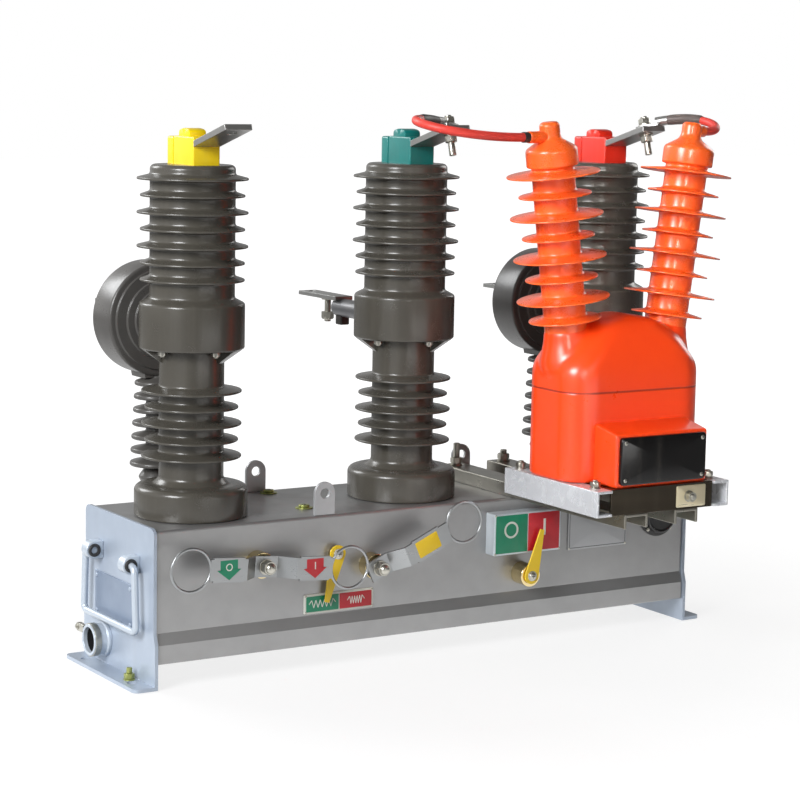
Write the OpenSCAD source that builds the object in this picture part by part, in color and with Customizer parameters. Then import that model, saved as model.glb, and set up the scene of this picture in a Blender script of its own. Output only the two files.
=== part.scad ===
// Outdoor vacuum circuit breaker, three poles on a steel housing, with two current
// transformers, a voltage transformer on a bracket, hand levers and carrying handles.
// Millimetres. X runs along the pole row, -Y is the operating side, Z is up.
// The origin is the middle of the foot bolts, on the ground.

/* [Housing] */
// Length over the end plates
housing_len = 896; // [800:1:1000]
// Depth of the upper part
housing_depth = 210; // [180:1:260]
// Underside of the housing
housing_bottom = 34; // [20:1:50]
// Top of the housing
housing_top = 215; // [190:1:260]
// How far the skirt stands out
skirt_out = 5; // [2:0.5:8]
// Top of the straight skirt
skirt_top = 60; // [52:1:66]
// Top of the sloping band
slope_top = 76; // [70:1:90]
// Thickness of the end plates and feet
plate_t = 5; // [4:0.5:8]
// How far the end plates stand proud of the housing
end_lip = 3; // [2:0.5:4]
// Corner radius of the end plates' tops
end_corner = 10; // [6:1:14]
// Bend radius of the housing's top edges
housing_bend = 4; // [3:0.5:5]
// How far each foot reaches out
foot_out = 30; // [28:1:40]
// Corner radius of the feet
foot_corner = 10; // [5:1:12]
// Bolt hole from the end plate's outer face
foot_bolt_out = 15; // [13:1:18]
// Bolt spacing across the housing
foot_bolt_pitch = 150; // [120:1:160]
// Radius of the foot bolt holes
foot_hole_r = 7; // [5.5:0.5:9]
// Lifting lug spacing along the housing
lug_pitch = 356; // [300:1:380]
// Lifting lug width
lug_w = 32; // [28:1:40]
// Lifting lug height
lug_h = 46; // [40:1:55]
// Lifting lug thickness
lug_t = 5; // [4:0.5:8]
// Lifting lug from the housing's long edge
lug_inset = 5; // [2:1:10]
// Lifting eye radius
lug_hole_r = 7; // [6:0.5:9]

/* [Poles] */
// Spacing of the three poles
pole_pitch = 340; // [300:1:380]
// Middle pole from the housing's middle, along X
pole_row_x = -6; // [-12:1:0]
// Pole row from the housing's middle, along Y
pole_row_y = -14; // [-20:1:0]
// Flange radius
flange_r = 78; // [74:1:84]
// Flange height
flange_h = 44; // [36:1:50]
// Rounding of the flange's top
flange_round = 14; // [8:1:18]
// Lower column radius
lower_r = 44.5; // [40:0.5:50]
// Barrel radius
barrel_r = 72; // [68:1:76]
// Underside of the barrel
barrel_bottom = 445; // [440:1:455]
// Height of the cone under the barrel
barrel_cone = 19; // [12:1:24]
// Height of the barrel
barrel_h = 62; // [58:1:66]
// Height of the barrel's shoulder
barrel_shoulder = 7; // [4:1:10]
// Upper column radius
upper_r = 58; // [54:1:62]
// Height of the upper column over the barrel
upper_h = 187; // [184:1:200]
// Rounding of the pole's top
pole_round = 8; // [4:1:12]
// Highest upper shed below the pole's top
upper_shed_in = 19; // [16:1:21]
// Spacing of the upper sheds
upper_shed_pitch = 22.8; // [21:0.2:23.4]
// Radius of the large upper sheds
upper_shed_r = 75.6; // [72:0.2:80]
// Highest lower shed below the barrel
lower_shed_in = 58; // [50:1:60]
// Spacing of the lower sheds
lower_shed_pitch = 22.4; // [20:0.2:24]
// Radius of the large lower sheds
lower_shed_r = 68.6; // [64:0.2:72]
// How much smaller every other shed is
shed_step = 4.4; // [2:0.2:7]
// Thickness of a shed at its root
shed_root_t = 8; // [6:0.5:10]
// Thickness of a shed at its rim
shed_tip_t = 3; // [2:0.5:4]
// How far a shed's rim hangs below its root
shed_drop = 2; // [1:0.5:4]

/* [Terminals] */
// Cap width
cap_w = 41; // [36:1:48]
// Cap depth
cap_d = 84; // [78:1:90]
// Cap height
cap_h = 38; // [34:1:44]
// Cap's middle from the pole axis, along Y
cap_shift = -2; // [-4:1:3]
// Boss on the cap: width
cap_boss_w = 30; // [24:1:34]
// Boss on the cap: depth
cap_boss_d = 56; // [44:1:62]
// Boss on the cap: height
cap_boss_h = 11; // [6:1:14]
// Boss on the cap: how far back it sits
cap_boss_back = 6; // [4:1:8]
// Corner radius of the cap's back
cap_round = 15; // [8:0.5:17]
// Upper terminal bar width
bar_w = 40; // [34:1:41]
// Upper terminal bar thickness
bar_t = 8; // [6:0.5:10]
// Upper terminal bar length outside the cap
bar_len = 92; // [80:1:110]
// Height of the bar's root over the pole's top
bar_root_h = 33; // [26:1:35]
// Upward tilt of the bar
bar_tilt = 15.5; // [10:0.5:22]
// Bolt hole from the bar's end
bar_hole_in = 20; // [16:1:26]
// Terminal bolt hole radius
terminal_hole_r = 6.5; // [5:0.5:7.5]
// Height of the outlet sleeves over the barrel's underside
outlet_rise = 26; // [22:1:30]
// Outlet sleeve radius
outlet_r = 13.5; // [12:0.5:16]
// End of the outlet sleeve from the pole axis
outlet_reach = 186; // [180:1:200]
// Lower terminal pad width
pad_w = 30; // [26:1:36]
// Lower terminal pad thickness
pad_t = 6; // [5:0.5:8]
// Lower terminal pad length
pad_len = 112; // [100:1:120]
// How far the pad lies on the sleeve
pad_lap = 16; // [12:1:24]
// Flat cut into the sleeve for the pad
pad_sink = 2.5; // [2:0.5:6]
// Pad hole from the pad's end
pad_hole_in = 16; // [13:1:22]

/* [Current transformers] */
// Radius of the ring
ct_r = 80; // [76:1:84]
// Radius of the window
ct_window_r = 32; // [26:1:36]
// Thickness of the ring
ct_t = 58; // [50:1:64]
// Front of the ring from the pole axis
ct_front = 92; // [90:1:98]
// Height of the ring's axis over the outlet
ct_rise = 4; // [0:1:8]
// Rise of each step on the ring's front
ct_step = 3; // [2:0.5:4]
// Width of the neck under the ring
ct_neck_w = 48; // [42:1:56]
// Depth of the neck under the ring
ct_neck_d = 42; // [36:1:48]
// Underside of the neck below the ring's axis
ct_neck_drop = 83; // [80:1:90]
// Leg axis from the pole axis
ct_leg_y = 108; // [107:1:110]
// Leg radius
ct_leg_r = 15; // [12:1:18]
// Highest shed of the leg below the neck
ct_shed_in = 8; // [6:1:12]
// Spacing of the leg's sheds
ct_shed_pitch = 19; // [17:0.5:20]
// Radius of the leg's highest shed
ct_shed_r = 31; // [26:0.5:32]
// How much wider the leg's lowest shed is
ct_shed_grow = 6.5; // [0:0.5:7]
// Thickness of the leg's sheds at the root
ct_shed_t = 12; // [9:0.5:14]
// Thickness of the leg's sheds at the rim
ct_rim_t = 6; // [4:0.5:8]
// How far the right ring sits in from its pole
ct_right_in = 8; // [0:1:10]

/* [Voltage transformer] */
// Middle of the transformer along X
vt_x = 189; // [180:1:196]
// Middle of the bracket along Y
vt_y = -269; // [-285:1:-262]
// Arm width
arm_w = 40; // [36:1:44]
// Arm height
arm_h = 20; // [16:1:24]
// Arm spacing
arm_pitch = 86; // [80:1:90]
// Wall of the arms and rails
channel_t = 4; // [3:0.5:5]
// Back end of the arms from the housing's back edge
arm_back = 17; // [13:1:45]
// Front end of the arms before the bracket's middle
arm_front = 106; // [100:1:112]
// Rails from the sides of the body
rail_inset = 2; // [0:0.5:4]
// Rail length
rail_len = 220; // [205:1:235]
// Rail height
rail_h = 36; // [30:1:40]
// Rail flange width
rail_flange = 26; // [20:1:30]
// Body width
body_w = 230; // [218:1:240]
// Body depth
body_d = 128; // [116:1:136]
// Body height
body_h = 226; // [215:1:240]
// Corner radius of the body
body_corner = 40; // [24:1:46]
// Middle of the body behind the bracket's middle
body_back = 10; // [6:1:14]
// Terminal box width
box_w = 156; // [146:1:168]
// Terminal box height
box_h = 74; // [66:1:82]
// Terminal box depth in front of the body
box_d = 48; // [40:1:52]
// Terminal cover width
cover_w = 145; // [136:1:146]
// Terminal cover height
cover_h = 65; // [58:1:66]
// Terminal cover thickness
cover_t = 6; // [4:0.5:8]
// Bushing foot from the transformer's middle
bushing_u = 88; // [82:1:92]
// Height of the lowest shed's middle over the rails
bushing_z = 256; // [250:1:262]
// Outward lean of the bushings
bushing_lean = 7.5; // [4:0.5:11]
// Bushing column radius
bushing_r = 29.5; // [26:0.5:32]
// Bushing foot radius
bushing_foot_r = 31; // [29.5:0.5:34]
// Length of the foot below the lowest shed
bushing_foot = 54; // [48:1:60]
// Spacing of the bushing sheds
bushing_pitch = 28.6; // [27:0.2:30]
// Radius of the large bushing sheds
bushing_shed_r = 64; // [58:1:68]
// Radius of the small bushing sheds
bushing_small_r = 50; // [46:1:54]
// Root thickness of the bushing sheds
bushing_shed_t = 6; // [5:0.5:9]
// Rim thickness of the bushing sheds
bushing_rim_t = 2.4; // [2:0.2:4]
// Radius of the bushing head
head_r = 35.5; // [31:0.5:37]
// Height of the bushing head
head_h = 24; // [20:1:28]
// Radius of the head's nipple
nipple_r = 14; // [12:0.5:16]
// Height of the cone and nipple over the head
nipple_h = 36; // [30:1:42]
// Radius of the nozzle on the nipple
nozzle_r = 8; // [7:0.5:10]
// Length of the nozzle from the bushing axis
nozzle_len = 40; // [34:1:46]

/* [Leads] */
// Radius of the leads
lead_r = 6; // [5:0.5:7]
// Size of the bend at the green phase
lead_bend = 60; // [50:1:66]
// Size of the loop at the red phase
lead_loop = 60; // [54:1:66]
// Lug width
lead_lug_w = 26; // [22:1:30]
// Lug length
lead_lug_l = 34; // [28:1:36]
// Lug thickness
lead_lug_t = 4; // [3:0.5:5]

/* [Levers and pointers] */
// Thickness of the lever bars
lever_t = 4; // [3:0.5:6]
// Front of the pads and rings before the housing
lever_out = 46; // [42:0.5:50]
// Front of the lever bars at their hubs
lever_hub_out = 28; // [26:0.5:31]
// Start of the bars' outward bend from the axis
bend_start = 17; // [15:0.5:20]
// End of the bars' outward bend from the axis
bend_end = 38; // [34:0.5:40]
// Pull ring radius
ring_r = 31; // [28:0.5:33]
// Width of the pull ring's wire
ring_wire = 4; // [3:0.5:5]
// Rocker axis along X
rocker_x = -292; // [-296:1:-286]
// Rocker axis height
rocker_z = 158; // [152:1:162]
// Pull ring centre from the rocker axis
rocker_arm = 121.5; // [116:0.5:122]
// Pad centre from the rocker axis
rocker_pad_x = 66; // [64:1:68]
// Resting tilt of the rocker
rocker_tilt = 4.4; // [0:0.2:6]
// Pad length
pad_plate_l = 46; // [42:1:50]
// Pad height
pad_plate_h = 33; // [28:1:36]
// Height of the lever bars
lever_h = 29; // [24:1:32]
// Charging lever axis along X
charge_x = -112; // [-115:1:-108]
// Charging lever axis height
charge_z = 139; // [134:1:146]
// Charging lever length to the ring's centre
charge_len = 140; // [134:1:144]
// Charging lever angle at rest
charge_angle = 24; // [16:1:26]
// Charging pad from the axis
charge_pad_x = 74; // [70:1:80]
// Boss radius of the levers
boss_r = 18; // [16:0.5:19]
// Boss height of the levers
boss_h = 19; // [16:0.5:21]
// Shaft radius of the levers
shaft_r = 8; // [6.5:0.5:10]
// Running clearance of each shaft, on the radius
run_gap = 0.05; // [0.02:0.01:0.08]
// End gap of each shaft
end_gap = 1; // [0.5:0.1:2]
// Hub radius of the levers
hub_r = 13; // [11:0.5:14]
// Boss radius of the charge pointer
pin_boss_r = 11; // [8:0.5:12]
// Boss height of the charge pointer
pin_boss_h = 6.5; // [6:0.5:8]
// Boss radius of the position pointer
position_boss_r = 16.5; // [14:0.5:18]
// Boss height of the position pointer
position_boss_h = 27; // [26.5:0.5:30]
// Pin radius of the pointers
pin_r = 4; // [3:0.5:5]
// Hub radius of the pointers
pointer_hub_r = 12; // [10:0.5:13]
// Pointer thickness
pointer_t = 2.5; // [2:0.5:4]
// Pointer length
pointer_len = 69; // [60:1:74]
// Pointer width at the tip
pointer_tip_w = 7; // [4:0.5:8]
// Position pointer axis along X
position_x = 145; // [140:1:150]
// Position pointer axis height
position_z = 103; // [98:1:106]
// Angle of the position pointer at rest
position_angle = 14; // [8:1:20]
// Charge pointer axis along X
charged_x = -169; // [-172:1:-166]
// Charge pointer axis height
charged_z = 161; // [158:1:166]
// Angle of the charge pointer at rest
charged_angle = 14; // [10:0.5:22]

/* [Plates on the face] */
// Thickness of the plates
label_t = 2; // [1:0.5:3]
// Depth of the position plate's box
position_label_d = 21; // [12:1:21]
// Position plate middle along X
position_label_x = 142; // [138:1:148]
// Position plate middle height
position_label_z = 166; // [160:1:170]
// Position plate width
position_label_w = 117; // [108:1:124]
// Position plate height
position_label_h = 61; // [56:1:66]
// Charge plate middle along X
charge_label_x = -162; // [-168:1:-158]
// Charge plate middle height
charge_label_z = 92; // [90:1:96]
// Charge plate width
charge_label_w = 111; // [100:1:118]
// Charge plate height
charge_label_h = 28; // [22:1:30]
// Name plate middle along X
name_x = 282; // [280:1:290]
// Name plate middle height
name_z = 157; // [150:1:162]
// Name plate width
name_w = 108; // [96:1:110]
// Name plate height
name_h = 59; // [50:1:64]
// Control socket along X
socket_x = 394; // [386:1:404]
// Control socket height
socket_z = 168; // [160:1:174]
// Control socket radius
socket_r = 33; // [29:1:36]
// Control socket depth
socket_d = 14; // [10:1:18]

/* [Handles and left end] */
// Radius of the handle rod
rod_r = 6; // [5:0.5:7]
// Handle axis from the end plate
handle_out = 13.5; // [13:0.5:16]
// Height of the handle axis
handle_z = 163; // [155:1:170]
// Leg spacing of the handle
handle_w = 160; // [150:1:170]
// Drop of the handle's grip below its axis
handle_drop = 89; // [80:1:92]
// Bend radius of the handle's corners
handle_bend = 16; // [12:1:20]
// Bend radius of the handle's pins
pin_bend = 9; // [8:0.5:11]
// Handle boss radius
eye_r = 12; // [10:0.5:12.5]
// Handle boss length
eye_len = 18; // [14:1:22]
// Handle boss middle from the housing's middle
eye_y = 58; // [54:1:60]
// End cover width
end_cover_w = 119; // [108:1:126]
// End cover height
end_cover_h = 62; // [54:1:72]
// End cover middle height
end_cover_z = 100; // [96:1:106]
// End cover along Y
end_cover_y = 13; // [6:1:18]
// Gland radius
gland_r = 22; // [18:1:24]
// Gland reach from the end plate
gland_len = 25; // [20:1:30]
// Gland along Y
gland_y = 44; // [36:1:52]
// Gland height
gland_z = 39; // [34:1:42]
// Radius of the gland's opening
gland_hole_r = 17; // [12:0.5:18]

/* [Hidden] */
$fn = 64;
lead_sides = 10;
front = -housing_depth / 2;
half_len = housing_len / 2;
rail_z = housing_top + arm_h;
body_z = rail_z + rail_h;
body_y = vt_y + body_back;
cut = plate_t;
barrel_top = barrel_bottom + barrel_h;
pole_top = barrel_top + upper_h;
upper_shed_z = pole_top - upper_shed_in;
lower_shed_z = barrel_bottom - lower_shed_in;
outlet_z = barrel_bottom + outlet_rise;
ct_z = outlet_z + ct_rise;
ct_neck_z = ct_z - ct_neck_drop;
ct_shed_z = ct_neck_z - ct_shed_in;
rail_gauge = body_w - 2 * rail_inset;
cap_y = pole_row_y - cap_shift;
cap_front = cap_y - cap_d / 2;
bar_root_z = pole_top + bar_root_h;
poles = [pole_row_x - pole_pitch, pole_row_x, pole_row_x + pole_pitch];
upper_large_share = [1, 0, 1, 0, 1, 0, 0];
lower_large_share = [1, 0, 1, 0, 1];
round_share = [0, 0.25, 0.5, 0.75, 1];
arch_share = [for (k = [0:12]) k / 12];
boss_share = 0.6;
shoulder_share = [[1, 0], [1, 0.66], [0.985, 0.7], [0.745, 0.86], [0.66, 0.91], [0.53, 0.955], [0.4, 0.98],
  [0.2, 0.995], [0, 1]];
lead_share = [for (k = [0:20]) k / 20];
green_out_share = [-2.256, -0.253, 0];
green_in_share = [-2.408, -1.057, 0.268];
red_out_share = [0.659, 0.059, 0.04];
red_in_share = [0.766, -0.952, 0.259];
nozzle_turns = [186.4, 5.1];
lug_turns = [203.7, -51.2];
nozzle_rise_share = [0.42, 0.65];
nozzle_share = 0.6;
bushing_top = bushing_pitch * 7.37;

// Turns a drawing in X and Y to stand in X and Z, its thickness running to -Y
module standing(y, t) {
  translate([0, y, 0])
    rotate([90, 0, 0])
      linear_extrude(t)
        children();
}

// The housing's outline in Y and Z, down to a given height, with a lip all round and bent top corners
function outline(z0, lip, bend) =
  let (h = housing_depth / 2 + lip, s = h + skirt_out, top = housing_top + lip)
  concat([[-s, z0], [s, z0], [s, skirt_top], [h, slope_top]],
    [for (k = round_share) [h - bend * (1 - cos(90 * k)), top - bend * (1 - sin(90 * k))]],
    [for (k = round_share) [bend * (1 - sin(90 * k)) - h, top - bend * (1 - cos(90 * k))]],
    [[-h, slope_top], [-s, skirt_top]]);

// Runs the housing's outline along X
module along_x(x0, x1, z0, lip, bend) {
  translate([x0, 0, 0])
    rotate([90, 0, 90])
      linear_extrude(x1 - x0)
        polygon(outline(z0, lip, bend));
}

// One shed as four points of a profile, rising: root, rim, rim, root
function shed(z, r0, r1, root, rim, drop) =
  [[r0, z + drop - root / 2], [r1, z - rim / 2], [r1, z + rim / 2], [r0, z + drop + root / 2]];

// A list of lists made flat
function flat(v) = [for (a = v) each a];

// The pole's profile, radius and height
function pole_profile() = let (top = housing_top + flange_h)
  concat(
    [[0, housing_top], [flange_r, housing_top], [flange_r, top - flange_round / 2]],
    [for (s = round_share) [flange_r - flange_round * (1 - cos(90 * s)), top + flange_round * (sin(90 * s) - 1) / 2]],
    [[lower_r + shed_root_t, top], [lower_r, top + shed_root_t]],
    flat([for (i = [4:-1:0]) shed(lower_shed_z - lower_shed_pitch * i, lower_r,
      lower_shed_r - shed_step * (1 - lower_large_share[i]), shed_root_t, shed_tip_t, shed_drop)]),
    [[lower_r, barrel_bottom - barrel_cone], [barrel_r, barrel_bottom], [barrel_r, barrel_top],
     [upper_r, barrel_top + barrel_shoulder]],
    flat([for (i = [6:-1:0]) shed(upper_shed_z - upper_shed_pitch * i, upper_r,
      upper_shed_r - shed_step * (1 - upper_large_share[i]), shed_root_t, shed_tip_t, shed_drop)]),
    [for (s = round_share) [upper_r - pole_round * (1 - cos(90 * s)), pole_top + pole_round * (sin(90 * s) - 1)]],
    [[0, pole_top]]);

module pole(x) {
  translate([x, pole_row_y, 0])
    rotate_extrude()
      polygon(pole_profile());
}

module cap(x) {
  translate([x, cap_y, pole_top]) {
    linear_extrude(cap_h)
      rounded_back(cap_w, cap_d, cap_round);
    translate([-cap_boss_w / 2, cap_boss_back, cap_h])
      rotate([90, 0, 90])
        linear_extrude(cap_boss_w)
          polygon([for (s = arch_share) [cap_boss_d / 2 * cos(180 * s), cap_boss_h * pow(sin(180 * s), boss_share)]]);
  }
}

// A plan with square front corners and a rounded back
module rounded_back(w, d, r) {
  translate([-w / 2, -d / 2])
    square([w, d - r]);
  translate([r - w / 2, -d / 2])
    square([w - 2 * r, d]);
  translate([r - w / 2, d / 2 - r])
    circle(r);
  translate([w / 2 - r, d / 2 - r])
    circle(r);
}

// Places a drawing on the bar's top, X across and -Y along the bar
module on_bar(x) {
  translate([x, cap_front, bar_root_z])
    rotate([-bar_tilt, 0, 0])
      children();
}

module upper_terminal(x) {
  difference() {
    on_bar(x)
      difference() {
        translate([-bar_w / 2, -bar_len, -bar_t])
          cube([bar_w, bar_len + bar_t * 2, bar_t]);
        translate([0, bar_hole_in - bar_len, -bar_t - cut])
          cylinder(r = terminal_hole_r, h = bar_t + 2 * cut);
      }
    translate([x - cap_w, cap_front, pole_top - cap_h])
      cube([2 * cap_w, cap_d, 3 * cap_h]);
  }
}

function pad_z() = outlet_z + outlet_r - pad_sink;
function pad_y() = pole_row_y + outlet_reach - pad_lap;

module pad_box(x, extra) {
  translate([x - pad_w / 2, pad_y(), pad_z()])
    cube([pad_w, pad_len, pad_t + extra]);
}

module outlet_sleeve(x) {
  difference() {
    translate([x, pole_row_y, outlet_z])
      rotate([-90, 0, 0])
        cylinder(r = outlet_r, h = outlet_reach);
    translate([x, pole_row_y, barrel_bottom])
      cylinder(r = barrel_r, h = barrel_top - barrel_bottom);
    pad_box(x, outlet_r);
  }
}

module lower_terminal(x) {
  difference() {
    pad_box(x, 0);
    translate([x, pad_y() + pad_len - pad_hole_in, pad_z() - cut])
      cylinder(r = terminal_hole_r, h = pad_t + 2 * cut);
  }
}

// The ring's profile: radius, and height over its front face
function ct_profile() =
  [[ct_window_r, -3 * ct_step], [ct_r * 0.55, -3 * ct_step], [ct_r * 0.55, -2 * ct_step],
   [ct_r * 0.69, -2 * ct_step], [ct_r * 0.69, -ct_step], [ct_r * 0.88, -ct_step], [ct_r * 0.88, 0],
   [ct_r, 0], [ct_r, ct_t], [ct_window_r, ct_t]];

module current_transformer(x) {
  leg_y = pole_row_y + ct_leg_y;
  translate([x, pole_row_y + ct_front, ct_z])
    rotate([-90, 0, 0])
      rotate_extrude()
        polygon(ct_profile());
  difference() {
    translate([x, 0, 0])
      standing(pole_row_y + ct_front + ct_neck_d, ct_neck_d)
        polygon([[-ct_neck_w / 2, ct_neck_z], [ct_neck_w / 2, ct_neck_z],
          [ct_r * 0.93, ct_z - ct_r * 0.4], [-ct_r * 0.93, ct_z - ct_r * 0.4]]);
    translate([x, pole_row_y + ct_front - cut, ct_z])
      rotate([-90, 0, 0])
        cylinder(r = ct_r * 0.9, h = ct_t + 2 * cut);
  }
  translate([x, leg_y, 0])
    rotate_extrude()
      polygon(concat([[0, housing_top], [ct_leg_r * 0.7, housing_top], [ct_leg_r, housing_top + ct_leg_r]],
        flat([for (i = [6:-1:0]) shed(ct_shed_z - ct_shed_pitch * i, ct_leg_r,
          ct_shed_r + ct_shed_grow * i / 6, ct_shed_t, ct_rim_t, shed_drop)]),
        [[ct_leg_r, ct_neck_z + cut], [0, ct_neck_z + cut]]));
}

module lug(x, y) {
  difference() {
    translate([x, 0, housing_top])
      standing(y + lug_t / 2, lug_t) {
        translate([-lug_w / 2, 0])
          square([lug_w, lug_h - lug_w / 2]);
        translate([0, lug_h - lug_w / 2])
          circle(lug_w / 2);
      }
    translate([x, y + lug_t, housing_top + lug_h - lug_w / 2])
      rotate([90, 0, 0])
        cylinder(r = lug_hole_r, h = 2 * lug_t);
  }
}

module lifting_lugs() {
  y = housing_depth / 2 - lug_inset;
  color("silver") {
    lug(pole_row_x - lug_pitch / 2, -y);
    lug(pole_row_x - lug_pitch / 2, y);
    lug(pole_row_x + lug_pitch / 2, y);
  }
}

module housing() {
  color("darkgray")
    along_x(plate_t - half_len, half_len - plate_t, housing_bottom, 0, housing_bend);
}

// The end plate at +X, with its foot
module end_plate() {
  w = housing_depth + 2 * (skirt_out + end_lip);
  difference() {
    union() {
      along_x(half_len - plate_t, half_len, 0, end_lip, end_corner);
      translate([half_len - plate_t, -w / 2, 0])
        cube([plate_t + foot_out - foot_corner, w, plate_t]);
      translate([half_len, foot_corner - w / 2, 0])
        cube([foot_out, w - 2 * foot_corner, plate_t]);
      for (s = [-1, 1])
        translate([half_len + foot_out - foot_corner, s * (w / 2 - foot_corner), 0])
          cylinder(r = foot_corner, h = plate_t);
    }
    for (s = [-1, 1])
      translate([half_len + foot_bolt_out, s * foot_bolt_pitch / 2, -cut])
        cylinder(r = foot_hole_r, h = plate_t + 2 * cut);
  }
}

module end_plate_left() {
  color("lightgray")
    mirror([1, 0, 0])
      end_plate();
}

module end_plate_right() {
  color("lightgray")
    end_plate();
}

// The transformer body's plan, front view and side view
module body_plan() {
  x = body_w / 2 - body_corner;
  y = body_d / 2 - body_corner;
  translate([-body_w / 2, -y])
    square([body_w, 2 * y]);
  translate([-x, -body_d / 2])
    square([2 * x, body_d]);
  for (i = [-1, 1], j = [-1, 1])
    translate([i * x, j * y])
      circle(body_corner);
}

module body_front() {
  n = len(shoulder_share) - 1;
  polygon(concat(
    [for (p = shoulder_share) [body_w / 2 * p[0], body_h * p[1]]],
    [for (i = [n - 1:-1:0]) [-body_w / 2 * shoulder_share[i][0], body_h * shoulder_share[i][1]]]));
}

module body_side() {
  polygon(concat([[-body_d / 2, 0], [body_d / 2, 0]],
    [for (s = arch_share) [body_d / 2 * (0.3 + 0.7 * cos(90 * s)), body_h * 0.62 + body_h * 0.38 * sin(90 * s)]],
    [for (s = arch_share) [-body_d / 2 * (0.3 + 0.7 * sin(90 * s)), body_h * 0.62 + body_h * 0.38 * cos(90 * s)]]));
}

module body_shape() {
  translate([vt_x, body_y, body_z])
    intersection() {
      linear_extrude(body_h)
        body_plan();
      standing(body_d / 2, body_d)
        body_front();
      rotate([90, 0, 90])
        translate([0, 0, -body_w / 2])
          linear_extrude(body_w)
            body_side();
    }
}

module vt_body() {
  color("orangered") {
    body_shape();
    translate([vt_x - box_w / 2, body_y - body_d / 2 - box_d, body_z])
      cube([box_w, box_d + body_corner, box_h]);
  }
}

function cover_y() = body_y - body_d / 2 - box_d;

module vt_terminal_cover() {
  color("black")
    translate([vt_x - cover_w / 2, cover_y() - cover_t, body_z + (box_h - cover_h) / 2])
      cube([cover_w, cover_t, cover_h]);
}

module vt_base_plate() {
  w = rail_gauge - 2 * rail_flange;
  y0 = vt_y - rail_len / 2 + channel_t;
  color("silver") {
    translate([vt_x - w / 2, y0, body_z - channel_t])
      cube([w, rail_len - 2 * channel_t, channel_t]);
    translate([vt_x - w / 2, y0, rail_z])
      cube([w, channel_t, rail_h]);
  }
}

// The rail at +X: its web outside, its flanges pointing in
module rail() {
  x = rail_gauge / 2;
  translate([vt_x, vt_y + rail_len / 2, rail_z])
    rotate([90, 0, 0])
      linear_extrude(rail_len)
        polygon([[x, 0], [x, rail_h], [x - rail_flange, rail_h], [x - rail_flange, rail_h - channel_t],
          [x - channel_t, rail_h - channel_t], [x - channel_t, channel_t], [x - rail_flange, channel_t],
          [x - rail_flange, 0]]);
}

module vt_rail_right() {
  color("gainsboro")
    rail();
}

module vt_rail_left() {
  color("gainsboro")
    translate([vt_x, 0, 0])
      mirror([1, 0, 0])
        translate([-vt_x, 0, 0])
          rail();
}

// An arm, open below, lying on the housing
module arm(x) {
  w = arm_w / 2;
  i = arm_w / 2 - channel_t;
  end = housing_depth / 2 - arm_back;
  translate([x, end, housing_top])
    rotate([90, 0, 0])
      linear_extrude(end + arm_front - vt_y)
        polygon([[-w, 0], [-i, 0], [-i, arm_h - channel_t], [i, arm_h - channel_t], [i, 0], [w, 0],
          [w, arm_h], [-w, arm_h]]);
}

module vt_arm_left() {
  color("dimgray")
    arm(vt_x - arm_pitch / 2);
}

module vt_arm_right() {
  color("dimgray")
    arm(vt_x + arm_pitch / 2);
}

// The bushing's profile along its own axis, zero at the lowest shed
function bushing_profile() = let (h = bushing_top)
  concat([[0, -bushing_foot], [bushing_foot_r * 0.6, -bushing_foot], [bushing_foot_r, -bushing_foot * 0.5],
    [bushing_foot_r, -bushing_foot / 3], [bushing_r, -bushing_shed_t]],
    flat([for (i = [0:7]) shed(bushing_pitch * i, bushing_r, i % 2 == 1 ? bushing_shed_r : bushing_small_r,
      bushing_shed_t, bushing_rim_t, shed_drop)]),
    [[bushing_r, h], [head_r, h], [head_r, h + head_h], [nipple_r * 1.2, h + head_h + nipple_h / 3],
     [nipple_r, h + head_h + nipple_h / 2], [nipple_r, h + head_h + nipple_h * 0.9],
     [nipple_r * 0.75, h + head_h + nipple_h], [0, h + head_h + nipple_h]]);

// Where a bushing's nozzle starts: side is -1 for left, 1 for right
function nozzle_root(side) = let (s = bushing_top + head_h + nipple_h * nozzle_rise_share[side < 0 ? 0 : 1])
  [vt_x + side * (bushing_u + s * sin(bushing_lean)), body_y, rail_z + bushing_z + s * cos(bushing_lean)];
function nozzle_turn(side) = nozzle_turns[side < 0 ? 0 : 1];
function nozzle_long(side) = nozzle_len * (side < 0 ? 1 : nozzle_share);
function nozzle_tip(side) = nozzle_root(side)
  + nozzle_long(side) * [cos(nozzle_turn(side)), sin(nozzle_turn(side)), 0];

module bushing(side) {
  difference() {
    union() {
      translate([vt_x + side * bushing_u, body_y, rail_z + bushing_z])
        rotate([0, side * bushing_lean, 0])
          rotate_extrude()
            polygon(bushing_profile());
      translate(nozzle_root(side))
        rotate([0, 90, nozzle_turn(side)])
          cylinder(r = nozzle_r, h = nozzle_long(side));
    }
    body_shape();
  }
}

module vt_bushing_left() {
  color("orangered")
    bushing(-1);
}

module vt_bushing_right() {
  color("orangered")
    bushing(1);
}

// A round cord through a list of points
module cord(path) {
  for (i = [1:len(path) - 1])
    hull() {
      translate(path[i - 1])
        sphere(lead_r, $fn = lead_sides);
      translate(path[i])
        sphere(lead_r, $fn = lead_sides);
    }
}

// A point over a terminal bar: across, along from the cap and up
function over_bar(x, u, v, h) =
  [x + u, cap_front - v * cos(bar_tilt) + h * sin(bar_tilt), bar_root_z + v * sin(bar_tilt) + h * cos(bar_tilt)];

function mix(a, b, t) = a + (b - a) * t;

// A smooth run from p0 to p3 with the handles p1 and p2
function curve(p0, p1, p2, p3, t) = mix(mix(mix(p0, p1, t), mix(p1, p2, t), t), mix(mix(p1, p2, t), mix(p2, p3, t), t), t);

module lead(side, path) {
  translate(nozzle_tip(side))
    rotate([0, 90, nozzle_turn(side)])
      cylinder(r = lead_r, h = lead_r * 1.5);
  cord(path);
}

function hole_v() = bar_len - bar_hole_in;
function lead_start(side) = nozzle_tip(side)
  + lead_r * 1.5 * [cos(nozzle_turn(side)), sin(nozzle_turn(side)), 0];

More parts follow.
